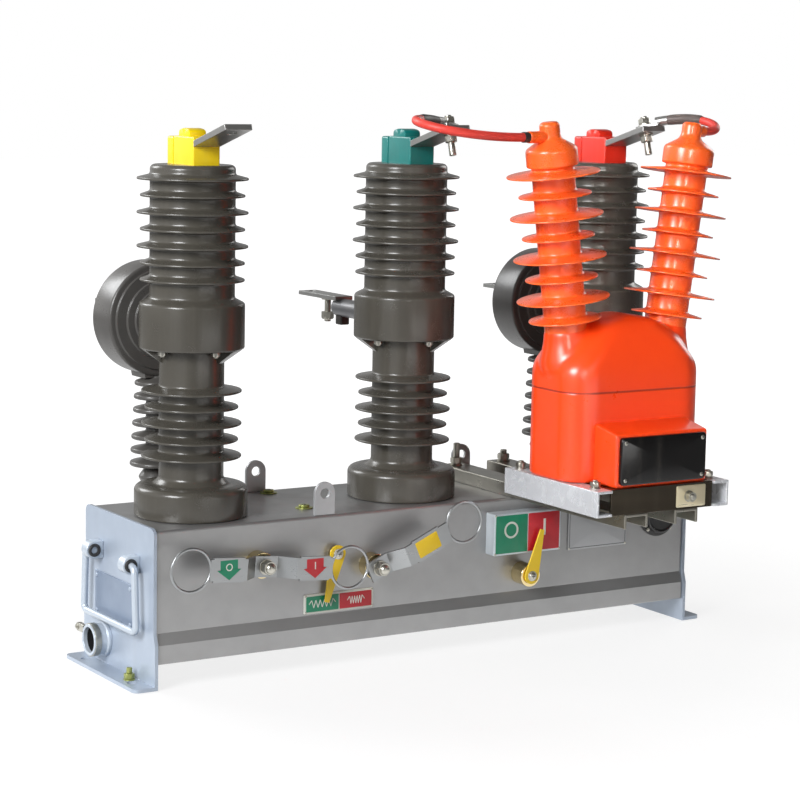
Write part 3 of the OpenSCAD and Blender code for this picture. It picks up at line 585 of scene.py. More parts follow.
POINTER_PAINT = Finish(
    "pointer_yellow", (240, 204, 24), (228, 188, 16), scale=1500, bump=0.08, rough=(0.3, 0.4), coat=0.2, dust=0.02
)
LABEL_GREEN = Finish("label_green", (14, 134, 96), (10, 120, 86), scale=1600, bump=0.05, rough=(0.3, 0.4), dust=0.02)
LABEL_RED = LABEL_GREEN.dyed("label_red", (196, 30, 42), (180, 26, 38))
LABEL_WHITE = LABEL_GREEN.dyed("label_white", (226, 226, 218), (214, 213, 204), rough=(0.34, 0.44), dust=0.04)
# dark ink: print on the name plate, and painted shade in the cross and hex recesses of screw and bolt heads
INK_AND_RECESS_SHADE = LABEL_GREEN.dyed("label_ink", (38, 38, 40), (50, 50, 52), bump=0.04, rough=(0.4, 0.5), dust=0.0)
FLOOR = Finish(
    "studio_floor", (124, 124, 124), (120, 120, 120), scale=60, bump=0.02, rough=(0.6, 0.7), dust=0.0, streaks=0.0
)

POLE_RESIN = Finish("pole_resin", (77, 74, 67), (69, 66, 60), Grain.CAST, 700, 0.1, (0.2, 0.3), dust=0.03)
CT_RESIN = Finish("ct_resin", (80, 78, 75), (70, 68, 66), Grain.CAST, 700, 0.12, (0.24, 0.36), dust=0.05)
SLEEVE_RESIN = Finish("sleeve_resin", (118, 118, 120), (104, 104, 107), Grain.CAST, 800, 0.12, (0.3, 0.44), 0.3)
SOCKET_BLACK = Finish("socket_black", (24, 24, 25), (36, 36, 37), Grain.CAST, 1400, 0.14, (0.36, 0.5), dust=0.05)
COVER_BLACK = Finish("vt_cover_black", (9, 8, 8), (15, 13, 13), Grain.CAST, 1300, 0.03, (0.08, 0.14), dust=0.01)
CAP_YELLOW = Finish(
    "cap_yellow_resin", (243, 214, 12), (236, 200, 8), Grain.CAST, 1100, 0.06, (0.28, 0.36), coat=0.1, dust=0.02
)
CAP_GREEN = CAP_YELLOW.dyed("cap_green_resin", (4, 122, 116), (3, 104, 100), rough=(0.26, 0.34))
CAP_RED = CAP_YELLOW.dyed("cap_red_resin", (226, 44, 20), (206, 34, 16))
# painted highlight: the bushings take a lighter, more orange copy of the body's resin, standing in for the highlights
# on them; they are the same resin as the body
LIT_BUSHING_RESIN = Finish(
    "vt_bushing_resin", (252, 104, 36), (246, 94, 30), Grain.CAST, 500, 0.03, (0.24, 0.32),
    coat=0.35, coat_rough=0.2, dust=0.02, streaks=0.0,
)
VT_RESIN = LIT_BUSHING_RESIN.dyed(
    "vt_resin", (252, 74, 18), (247, 67, 15), rough=(0.26, 0.34), coat_rough=0.22, seam=0.395
)

TINNED = Finish(
    "tinned_copper", (176, 176, 174), (152, 151, 148), Grain.BRUSHED, 900, 0.1, (0.26, 0.42), 0.9,
    dust=0.05, streaks=0.0,
)
ZINC = Finish(
    "zinc_bolt", (186, 184, 176), (164, 161, 150), Grain.BRUSHED, 1500, 0.08, (0.22, 0.38), 0.95,
    dust=0.04, streaks=0.0,
)
YELLOW_ZINC = ZINC.dyed("yellow_zinc", (158, 164, 92), (132, 138, 84), rough=(0.24, 0.4), metallic=0.6)
DARK_STEEL = Finish("dark_steel", (62, 60, 58), (82, 79, 76), Grain.BRUSHED, 1500, 0.08, (0.3, 0.45), 0.8, dust=0.06)
# painted dark reflection: the base plate's near-black colour stands in for the dark surroundings mirrored in its
# glossy zinc
DARK_REFLECTION_BASE_STEEL = Finish("base_steel", (58, 52, 45), (84, 76, 64), Grain.BRUSHED, 700, 0.08, (0.14, 0.26), 0.85, dust=0.03)
EARTH_PAD = Finish(
    "earth_pad_zinc", (232, 222, 192), (214, 202, 168), Grain.BRUSHED, 900, 0.06, (0.22, 0.36), 0.7, dust=0.03
)
LEVER_STEEL = Finish(
    "lever_steel", (158, 160, 161), (142, 144, 145), Grain.BRUSHED, 1000, 0.1, (0.24, 0.38), 0.85, dust=0.04
)
BRASS = Finish(
    "boss_steel", (230, 212, 166), (214, 194, 144), Grain.BRUSHED, 1000, 0.06, (0.12, 0.22), 1.0, dust=0.02
)
LABEL_GREY = Finish("label_grey", (166, 167, 168), (154, 155, 157), Grain.BRUSHED, 1200, 0.06, (0.3, 0.42), 0.55)
RAIL_STEEL = Finish(
    "rail_steel", (226, 228, 232), (211, 213, 217), Grain.SPANGLE, 900, 0.06, (0.22, 0.36), 0.4, dust=0.03
)

LEAD_BLACK = Finish("lead_black_rubber", (34, 30, 30), (48, 43, 42), Grain.RUBBER, 1200, 0.14, (0.4, 0.54), dust=0.05)
LEAD_RED = LEAD_BLACK.dyed("lead_red_rubber", (222, 66, 54), (206, 54, 46), bump=0.12, rough=(0.38, 0.52))
LEAD_GREY = LEAD_BLACK.dyed("lead_grey_sleeve", (96, 86, 82), (80, 72, 70), rough=(0.36, 0.5))
# painted shade: a near-black lining for the inside of the gland's bore, where the hollow lies in shadow
BORE_PAINTED_SHADE = LEAD_BLACK.dyed(
    "bore_dark", (18, 18, 19), (26, 26, 27), bump=0.1, rough=(0.5, 0.65), dust=0.0, streaks=0.0
)


def settle(mesh: bpy.types.Mesh, sharp: float) -> None:
    """Merges a mesh's doubles, turns its faces outwards and smooths it up to an angle.

    Args:
        mesh: The mesh.
        sharp: Angle in degrees beyond which an edge stays sharp.
    """
    work = bmesh.new()
    work.from_mesh(mesh)
    bmesh.ops.remove_doubles(work, verts=work.verts, dist=2e-6)
    bmesh.ops.recalc_face_normals(work, faces=work.faces)
    work.to_mesh(mesh)
    work.free()
    mesh.shade_smooth()
    mesh.set_sharp_from_angle(angle=math.radians(sharp))


def fuse(made: bpy.types.Object, voxel: float, rounds: int) -> None:
    """Fuses the overlapping shapes of a piece into one smooth skin.

    Args:
        made: The piece's object.
        voxel: Size of the cells that the skin is drawn over.
        rounds: How often every point moves towards the mean of its neighbours.
    """
    skin = made.modifiers.new("fused_skin", "REMESH")
    skin.mode, skin.voxel_size = "VOXEL", voxel
    relax = made.modifiers.new("relaxed_skin", "SMOOTH")
    relax.factor, relax.iterations = 0.5, rounds
    mesh = bpy.data.meshes.new_from_object(made.evaluated_get(bpy.context.evaluated_depsgraph_get()))
    made.modifiers.clear()
    made.data = mesh
    mesh.shade_smooth()


def publish(mesh: bpy.types.Mesh, body: str, nodes: Sequence[str]) -> bpy.types.Object:
    """Links a mesh into the scene as a piece of the same name.

    Args:
        mesh: The mesh.
        body: The CAD body that the piece rides on.
        nodes: CAD nodes that it stands for.

    Returns:
        The object.
    """
    made = bpy.data.objects.new(mesh.name, mesh)
    bpy.context.scene.collection.objects.link(made)
    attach(made, body)
    if nodes:
        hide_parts(*nodes)
    log.info("piece %s: %d faces", mesh.name, len(mesh.polygons))
    return made


@dataclass
class Piece:
    """One object of the scene, gathered from surfaces that have a finish each."""

    name: str
    body: str = BODY
    parts: list[tuple[Surface, Finish]] = field(default_factory=list)

    def add(self, finish: Finish, *surfaces: Surface) -> "Piece":
        """Adds surfaces of one finish."""
        self.parts += [(surface, finish) for surface in surfaces]
        return self

    def build(self, slot: str, *nodes: str) -> bpy.types.Object:
        """Makes the object.

        Args:
            slot: The record's material slot; not used.
            *nodes: CAD nodes that the piece stands for.

        Returns:
            The object, riding on its body.
        """
        starts = np.cumsum([0] + [len(s.points) for s, _ in self.parts])
        points = np.vstack([s.points for s, _ in self.parts])
        quads = np.vstack([s.quads + start for (s, _), start in zip(self.parts, starts)]).astype(np.int32)
        finishes = list(dict.fromkeys(f for _, f in self.parts))
        index = np.concatenate([np.full(len(s.quads), finishes.index(f), np.int32) for s, f in self.parts])
        mesh = bpy.data.meshes.new(self.name)
        mesh.vertices.add(len(points))
        mesh.vertices.foreach_set("co", points.astype(np.float32).ravel())
        mesh.loops.add(quads.size)
        mesh.loops.foreach_set("vertex_index", quads.ravel())
        mesh.polygons.add(len(quads))
        mesh.polygons.foreach_set("loop_start", np.arange(0, quads.size, 4, dtype=np.int32))
        mesh.polygons.foreach_set("material_index", index)
        for finish in finishes:
            mesh.materials.append(finish.material())
        mesh.update(calc_edges=True)
        settle(mesh, SHARP)
        return publish(mesh, self.body, nodes)


@dataclass(frozen=True)
class CadSkin:
    """A CAD node shown with merged faces, rounded edges and a finish of its own."""

    node: str
    finish: Finish
    slot: str
    edge: float
    body: str = BODY
    sharp: float = SHARP

    def build(self) -> None:
        """Copies the node's faces into a fresh mesh, merges them and bevels the sharp edges."""
        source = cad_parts[self.node].data
        points = np.empty(len(source.vertices) * 3, np.float32)
        source.vertices.foreach_get("co", points)
        loops = np.empty(len(source.loops), np.int32)
        source.loops.foreach_get("vertex_index", loops)
        mesh = bpy.data.meshes.new(self.node + "_skin")
        mesh.from_pydata(points.reshape(-1, 3), [], loops.reshape(-1, 3))
        work = bmesh.new()
        work.from_mesh(mesh)
        bmesh.ops.remove_doubles(work, verts=work.verts, dist=1e-6)
        bmesh.ops.dissolve_limit(work, angle_limit=math.radians(0.6), verts=work.verts, edges=work.edges)
        work.to_mesh(mesh)
        work.free()
        mesh.materials.append(self.finish.material())
        settle(mesh, self.sharp)
        made = publish(mesh, self.body, [self.node])
        bevel = made.modifiers.new("rounded_edges", "BEVEL")
        bevel.width, bevel.segments = self.edge, 3
        bevel.limit_method, bevel.angle_limit = "ANGLE", math.radians(SHARP)
        bevel.harden_normals = True


@dataclass(frozen=True)
class Bolt:
    """A hexagon bolt or nut on its washers: radii, widths and heights in thread diameters."""

    thread: float
    dome: bool = False
    stub: float = 0.3
    plain_washer: bool = True
    washer: Vec2 = (1.0, 0.18)
    spring: Vec2 = (0.78, 0.2)
    head: Vec2 = (1.6, 0.75)
    crown: float = 0.55
    stem: float = 0.5

    def parts(self, seat: Seat) -> list[Surface]:
        """Gives the washer, spring washer, head and, where it has no dome, the thread's stub.

        Args:
            seat: The face that the bolt stands on.

        Returns:
            The surfaces, in place.
        """
        d = self.thread
        rise = 0.0
        made: list[Surface] = []
        if self.plain_washer:
            made.append(disc(self.washer[0] * d, self.washer[1] * d, 0.04 * d).at(seat))
            rise = self.washer[1] * d
        made.append(disc(self.spring[0] * d, self.spring[1] * d, 0.06 * d).at(seat.moved(z=rise)))
        rise += self.spring[1] * d
        crown = self.crown * d if self.dome else 0.0
        made.append(hexagon(self.head[0] * d, self.head[1] * d, crown).at(seat.moved(z=rise)))
        if not self.dome:
            stem = disc(self.stem * d, self.stub * d, 0.1 * d, 24)
            made.append(stem.at(seat.moved(z=rise + self.head[1] * d)))
        return made


def screw(radius: float, seat: Seat) -> list[Surface]:
    """A pan-head screw with a cross: its height is r (0.15 + 0.45 sin s) at the radius r cos s.

    Args:
        radius: Radius of the head.
        seat: The face that the head sits on.

    Returns:
        The head first, then the two bars of the cross.
    """
    s = np.linspace(0, QUARTER, 8)[:, None]
    dome = np.hstack([radius * np.cos(s), radius * (0.15 + 0.45 * np.sin(s))])
    head = revolve(np.vstack([[[0, 0], [radius, 0]], dome]), 24)
    bar = block((1.1 * radius, 0.2 * radius, 0.04 * radius), 0.05 * radius, 0.02 * radius, 2)
    top = seat.moved(z=0.58 * radius)
    return [head.at(seat), bar.at(top), bar.at(top.turned(90))]


def stand(data: bpy.types.ID, seat: Seat) -> bpy.types.Object:
    """Links an object for a lamp or a camera, set up in a seat.

    Args:
        data: The lamp or the camera.
        seat: Where it stands. It looks against the seat's Z.

    Returns:
        The object.
    """
    made = bpy.data.objects.new(data.name, data)
    bpy.context.scene.collection.objects.link(made)
    place = np.eye(4)
    place[:3] = np.column_stack([seat.axes.T, seat.origin])
    made.matrix_world = Matrix(place.tolist())
    return made


@dataclass(frozen=True)
class SoftBox:
    """A lamp that looks at a point: its power is in watts, its spread in degrees."""

    name: str
    place: Vec3
    aim: Vec3
    size: Vec2
    power: float
    colour: Colour
    spread: float = 180.0

    def build(self) -> None:
        """Hangs the lamp, unseen by the camera."""
        lamp = bpy.data.lights.new(self.name, "AREA")
        lamp.shape, lamp.energy, lamp.color = "RECTANGLE", self.power, self.colour
        lamp.size, lamp.size_y = self.size
        lamp.spread = math.radians(self.spread)
        made = stand(lamp, Seat.of(self.place, np.subtract(self.place, self.aim), (1.0, 0.2, 0.0)))
        made.visible_camera = False


LAMPS = (
    SoftBox("key_softbox", (-3.65, -1.55, 2.1), (0.0, -0.05, 0.35), (1.5, 1.7), 203.0, (0.97, 0.98, 1.0)),
    SoftBox("fill_softbox", (0.2, -3.6, 1.5), (0.2, 0.0, 0.3), (1.6, 1.3), 8.0, (1.0, 0.98, 0.95)),
    SoftBox("vt_softbox", (-1.3, -3.2, 1.25), (0.29, -0.25, 0.6), (0.45, 0.7), 0.42, (1.0, 0.97, 0.92), 13.0),
    SoftBox("low_softbox", (0.2, -2.0, 0.14), (0.1, -0.1, 0.10), (1.7, 0.22), 3.0, (1.0, 0.99, 0.97)),
    SoftBox("right_softbox", (3.2, 1.1, 1.6), (0.1, 0.0, 0.35), (1.6, 1.6), 25.0, (1.0, 0.99, 0.97)),
    SoftBox("rim_softbox", (-1.7, 3.4, 2.4), (0.0, 0.0, 0.4), (1.6, 1.5), 62.0, (0.97, 0.99, 1.0)),
)


@dataclass(frozen=True)
class Studio:
    """Camera, lamps, floor and surroundings, in the photograph's view."""

    azimuth: float = -31.97
    elevation: float = 7.94
    roll: float = -1.07
    focal_px: float = 2373.9
    frame_px: float = 800.0
    distance: float = 3.42245
    target: Vec3 = (-0.01018, -0.014, 0.35369)
    walls: Vec2 = (0.12, 0.95)
    bright: Vec3 = (-0.75, 0.65, 0.0)
    floor_half: float = 16.0
    floor_z: float = -0.0005
    floor_seen: Vec2 = (0.78, 1.02)
    floor_mirrored: Vec2 = (1.28, 0.1)

    def build(self) -> None:
        """Sets up the camera, then the floor, lamps and world."""
        self.camera()
        self.floor()
        for lamp in LAMPS:
            lamp.build()
        self.surroundings()
        view = bpy.context.scene.view_settings
        view.view_transform, view.look = "Standard", "None"

    def surroundings(self) -> None:
        """Makes a room: bright at the back left, dim at the right and above, plain white to the camera."""
        world = bpy.data.worlds.new("studio_white")
        bpy.context.scene.world = world
        world.use_nodes = True
        world.node_tree.nodes.clear()
        g = Graph(world.node_tree)
        ray = g.add("TexCoord").outputs["Generated"]
        side = g.add("VectorMath", {0: ray, 1: self.bright}, operation="DOT_PRODUCT").outputs["Value"]
        rise = g.add("SeparateXYZ", {0: ray}).outputs[2]
        dim = g.spread(rise, 0.1, 0.9, (1.0, 0.4))
        wall = g.sum("MULTIPLY", g.spread(side, -0.3, 0.8, self.walls), dim)
        seen = g.add("LightPath").outputs["Is Camera Ray"]
        light = g.add("Background", {"Color": WHITE, "Strength": g.sum("MAXIMUM", wall, seen)})
        g.add("OutputWorld", {"Surface": light.outputs[0]})

    def camera(self) -> None:
        """Places the camera on its ray from the target, rolled about it."""
        a, e, r = (math.radians(v) for v in (self.azimuth, self.elevation, self.roll))
        back = np.array([math.sin(a) * math.cos(e), -math.cos(a) * math.cos(e), math.sin(e)])
        right = unit(np.cross(-back, UP))
        down = np.cross(-back, right)
        x = math.cos(r) * right + math.sin(r) * down
        y = math.sin(r) * right - math.cos(r) * down
        lens = bpy.data.cameras.new("photo_camera")
        lens.sensor_width = 36.0
        lens.lens = self.focal_px * lens.sensor_width / self.frame_px
        lens.clip_end = 60.0
        seat = Seat(np.array(self.target) + self.distance * back, np.stack([x, y, back]))
        bpy.context.scene.camera = stand(lens, seat)

    def floor(self) -> None:
        """Lays a wide pale floor just under the feet, brighter to the camera and in reflections."""
        u = np.linspace(-self.floor_half, self.floor_half, 9)
        x, y = np.meshgrid(u, u, indexing="ij")
        made = grid(np.stack([x, y, 0 * x + self.floor_z], -1), closed=False)
        mesh = bpy.data.meshes.new("studio_floor")
        mesh.from_pydata(made.points, [], made.quads)
        paint = FLOOR.material()
        shader = next(n for n in paint.node_tree.nodes if n.type == "BSDF_PRINCIPLED")
        shader.inputs["Emission Color"].default_value = WHITE
        g = Graph(paint.node_tree)
        place = g.add("TexCoord").outputs["Object"]
        away = g.add("VectorMath", {0: place}, operation="LENGTH").outputs["Value"]
        ray = g.add("LightPath").outputs
        seen = g.sum("MULTIPLY", ray["Is Camera Ray"], g.spread(away, 0.5, 2.2, self.floor_seen))
        mirrored = g.sum("MULTIPLY", ray["Is Glossy Ray"], g.spread(away, 0.4, 1.8, self.floor_mirrored))
        g.tree.links.new(g.sum("ADD", seen, mirrored), shader.inputs["Emission Strength"])
        mesh.materials.append(paint)
        plate = bpy.data.objects.new("studio_floor", mesh)
        bpy.context.scene.collection.objects.link(plate)


def shed_rows(bottom: float, pitch: float, radii: Vec, core: float, thickness: Vec2) -> Array:
    """Gives the profile of a row of sheds, from the lowest to the highest.

    Each shed rises from the core over half its root, runs out to its rim 2 mm lower and comes back.

    Args:
        bottom: Height of the lowest rim's middle.
        pitch: Rise from one shed to the next.
        radii: Radius of each rim, lowest first.
        core: Radius of the core.
        thickness: Thickness at the core and at the rim.

    Returns:
        Rows of radius and height.
    """
    root, rim = thickness
    drop = 0.002
    z = bottom + pitch * np.arange(len(radii))
    out = np.asarray(radii)
    r = np.stack([0 * z + core, out, out, 0 * z + core], 1)
    h = np.stack([z + drop - root / 2, z - rim / 2, z + rim / 2, z + drop + root / 2], 1)
    return np.stack([r.ravel(), h.ravel()], 1)


def on_face(x: float, z: float, turn: float = 0.0) -> Seat:
    """Gives a seat on the operating face, turned in degrees: X to the right, Y up, Z out."""
    return Seat.of((x, FACE_Y, z), OUT).turned(turn)


def box_of(node: str) -> tuple[Array, Array]:
    """Gives the lowest and the highest corner of a CAD node's box."""
    low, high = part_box(node)
    return np.array(low), np.array(high)


@dataclass(frozen=True)
class Pole:
    """One shedded pole: flange, lower column, barrel and upper column, turned in one profile.

    A row of sheds is the height of its highest rim, its pitch and its rims' radius; the rims marked 1
    are shorter.
    """

    node: str
    flange: Vec2 = (0.078, 0.044)
    shoulder: Line = ((0.0, -0.007), (-0.004, -0.002), (-0.014, 0.0))
    fillet: float = 0.008
    lower_r: float = 0.0445
    barrel_r: float = 0.072
    barrel: Vec2 = (0.445, 0.507)
    slope: float = 0.007
    upper_r: float = 0.058
    upper_sheds: Vec3 = (0.675, 0.0228, 0.0756)
    upper_marks: tuple[int, ...] = (1, 1, 0, 1, 0, 1, 0)
    lower_sheds: Vec3 = (0.387, 0.0224, 0.0686)
    lower_marks: tuple[int, ...] = (0, 1, 0, 1, 0)
    shorter: float = 0.0044
    thickness: Vec2 = (0.008, 0.003)
    crown: float = 0.004
    cone: float = 0.019
    gussets: Vec2 = (-32.0, 148.0)
    gusset_half: float = 32.0
    sunk: float = 0.003
    bolt: Bolt = Bolt(0.007, plain_washer=False)
    bolt_r: float = 0.0535
    bolt_turns: Row = (-164.0, -80.0, 16.0, 100.0)

    def sheds(self, row: Vec3, marks: tuple[int, ...], core: float) -> Array:
        """Gives the profile of one row of sheds.

        Args:
            row: Height of the highest rim, pitch and radius.
            marks: 1 for each shorter rim, lowest first.
            core: Radius of the core.

        Returns:
            Rows of radius and height.
        """
        z, pitch, r = row
        radii = r - self.shorter * np.array(marks)
        return shed_rows(z - (len(marks) - 1) * pitch, pitch, radii, core, self.thickness)

    def profile(self, base: float, top: float) -> Array:
        """Gives the pole's outline from its base to its top.

        Args:
            base: Height of the flange's underside.
            top: Height of the upper column's end.

        Returns:
            Rows of radius and height.
        """
        fr, fh = self.flange
        low, high = self.barrel
        rim = base + fh
        foot = [[0, base], [fr, base], *(np.array(self.shoulder) + [fr, rim])]
        neck = [[self.lower_r + self.fillet, rim], [self.lower_r, rim + self.fillet]]
        lower = self.sheds(self.lower_sheds, self.lower_marks, self.lower_r)
        barrel = [[self.lower_r, low], [self.barrel_r, low], [self.barrel_r, high], [self.upper_r, high + self.slope]]
        upper = self.sheds(self.upper_sheds, self.upper_marks, self.upper_r)
        head = [[self.upper_r, top - self.crown], [self.upper_r - self.crown, top], [0, top]]
        return soften(np.vstack([foot, neck, lower, barrel, upper, head]), 0.0032, 5)

    def gusset(self, at: float) -> Surface:
        """Carries a triangle under the barrel through an arc.

        Args:
            at: Direction of the arc's middle, in degrees.

        Returns:
            The closed surface.
        """
        low = self.barrel[0]
        root, tip, lap = self.lower_r - self.sunk, self.barrel_r - self.sunk, low + 0.004
        foot = low - self.cone
        line = [[root, foot - self.sunk], [self.lower_r, foot], [self.barrel_r - 0.0015, low], [tip, lap], [root, lap]]
        r, h = soften(np.array(line), 0.002).T
        t = np.radians(at + np.linspace(-self.gusset_half, self.gusset_half, 17))[:, None]
        return capped(np.stack([r * np.cos(t), r * np.sin(t), h + 0 * t], -1))

    def build(self) -> None:
        """Turns the pole, with two gussets and four bolts under its barrel."""
        low, high = box_of(self.node)
        axis = Seat.of((*(low + high)[:2] / 2, 0))
        piece = Piece(self.node + "_column")
        piece.add(POLE_RESIN, revolve(self.profile(low[2], high[2]), 96).at(axis))
        piece.add(POLE_RESIN, *(self.gusset(at).at(axis) for at in self.gussets))
        for turn in self.bolt_turns:
            spot = axis.point(*around(self.bolt_r, turn), self.barrel[0])
            piece.add(ZINC, *self.bolt.parts(Seat.of(spot, DOWN)))
        piece.build("pole_resin", self.node)


@dataclass(frozen=True)
class PhaseCap:
    """A coloured cap on a pole, with an arched boss on its top; its node and its slot share a name."""

    node: str
    finish: Finish
    size: Vec3 = (0.041, 0.084, 0.038)
    back: float = 0.024
    back_corners: Row = (0.011, 0.011, 0.001, 0.001)
    groove: float = 0.0014
    core_inset: Vec3 = (0.003, 0.008, 0.0025)
    boss: Vec3 = (0.026, 0.034, 0.011)
    boss_inset: Row = (0.0, 0.0, 0.0008, 0.003)
    boss_share: Row = (0.0, 0.86, 0.95, 1.0)

    def build(self) -> None:
        """Sets the cap's front and rear on a core, and the boss on top: z = h sin(s)^0.4 at y = d/2 cos s."""
        low, high = box_of(self.node)
        seat = Seat.of((*(low + high)[:2] / 2, low[2]))
        w, d, h = self.size
        front = d - self.back - self.groove
        piece = Piece(self.node + "_hood")
        piece.add(self.finish, block((w, front, h), 0.0025, 0.0022, 8).at(seat.moved(y=(front - d) / 2)))
        rear = block((w, self.back, h - 0.001), self.back_corners, 0.003, 8)
        piece.add(self.finish, rear.at(seat.moved(y=(d - self.back) / 2)))
        piece.add(self.finish, block(np.subtract(self.size, self.core_inset), 0.004, 0.001).at(seat))
        piece.add(self.finish, self.arched_boss().at(seat.moved(z=h - 0.0004)))
        piece.build(self.node, self.node)

    def arched_boss(self) -> Surface:
        """Carries the arch across the boss's width, smaller towards both ends.

        Returns:
            The boss on Z 0.
        """
        w, d, h = self.boss
        s = np.linspace(0, math.pi, 33)
        arch = np.stack([d / 2 * np.cos(s), h * np.maximum(np.sin(s), 0) ** 0.4], 1)
        inset = np.array(self.boss_inset)
        x = np.concatenate([inset - w / 2, (w / 2 - inset)[::-1]])[:, None]
        share = np.array(self.boss_share + self.boss_share[::-1])[:, None]
        rows = [np.broadcast_to(x, (len(x), len(s))), share * arch[:, 0], share * arch[:, 1]]
        return grid(np.stack(rows, -1))


@dataclass(frozen=True)
class CurrentTransformer:
    """A ring transformer behind a pole, on a shedded leg."""

    node: str
    ring_r: float = 0.080
    window_r: float = 0.019
    depth: float = 0.058
    step: float = 0.003
    treads: Row = (0.4, 0.55, 0.69, 0.88)
    risers: tuple[int, ...] = (0, 3, 3, 2, 2, 1, 1, 0)
    front_y: float = 0.078
    ring_z: float = 0.475
    leg_y: float = 0.094
    leg_r: float = 0.015
    leg_foot: Line = ((0.0, 0.0), (0.8, 0.0), (0.9, 0.014), (1.7, 0.036))
    neck: Vec3 = (0.048, 0.042, 0.392)
    shed_r: Vec2 = (0.0375, 0.031)
    shed_count: int = 7
    shed_pitch: float = 0.019
    shed_t: Vec2 = (0.012, 0.006)

    def ring(self) -> Array:
        """Gives the ring's closed profile, its face stepped forward towards the window.

        Returns:
            Rows of radius and depth.
        """
        face = np.column_stack([self.ring_r * np.repeat(self.treads, 2), -self.step * np.array(self.risers)])
        window, r, middle = self.window_r, self.ring_r, [[self.window_r, self.depth / 2]]
        rim = [[r, 0], [r, self.depth], [window, self.depth]]
        return soften(np.vstack([middle, [[window, 0]], face, rim, middle]), 0.005, 5)

    def neck_outline(self) -> Array:
        """Gives the flared neck's outline: (1 - u)^2 A + 2 u (1 - u) P + u^2 B on each side.

        Returns:
            Rows of X and height.
        """
        w, _, z = self.neck
        u = np.linspace(0, 1, 9)[:, None]
        start, pull = np.array([[w / 2, z]]), np.array([[w / 2 + 0.004, z + 0.03]])
        end = np.array([[self.ring_r * 0.885, self.ring_z - self.ring_r * 0.4]])
        half = start * (1 - u) ** 2 + 2 * u * (1 - u) * pull + u**2 * end
        return np.vstack([half, half[::-1] * [-1, 1]])

    def leg(self, base: float) -> Array:
        """Gives the leg's outline, from its foot to inside the neck.

        Args:
            base: Height of the foot's underside.

        Returns:
            Rows of radius and height.
        """
        top = self.neck[2] + 0.005
        lowest = self.neck[2] - 0.008 - (self.shed_count - 1) * self.shed_pitch
        radii = np.linspace(*self.shed_r, self.shed_count)
        sheds = shed_rows(lowest, self.shed_pitch, radii, self.leg_r, self.shed_t)
        foot = np.array(self.leg_foot) * [self.leg_r, 1] + [0, base]
        return soften(np.vstack([foot, sheds, [[self.leg_r, top], [0, top]]]), 0.003, 5)

    def build(self) -> None:
        """Turns the stepped ring and the leg, and joins them with the neck."""
        low, high = box_of(self.node)
        x, depth = (low[0] + high[0]) / 2, self.neck[1]
        piece = Piece(self.node + "_casting")
        piece.add(CT_RESIN, revolve(self.ring(), 112).at(Seat.of((x, self.front_y, self.ring_z), BACK)))
        neck = slab(self.neck_outline(), depth, 0.003)
        piece.add(CT_RESIN, neck.at(Seat.of((x, self.front_y + 0.004 + depth, 0), OUT)))
        piece.add(CT_RESIN, revolve(self.leg(low[2]), 64).at(Seat.of((x, self.leg_y, 0))))
        piece.build("ct_resin", self.node)


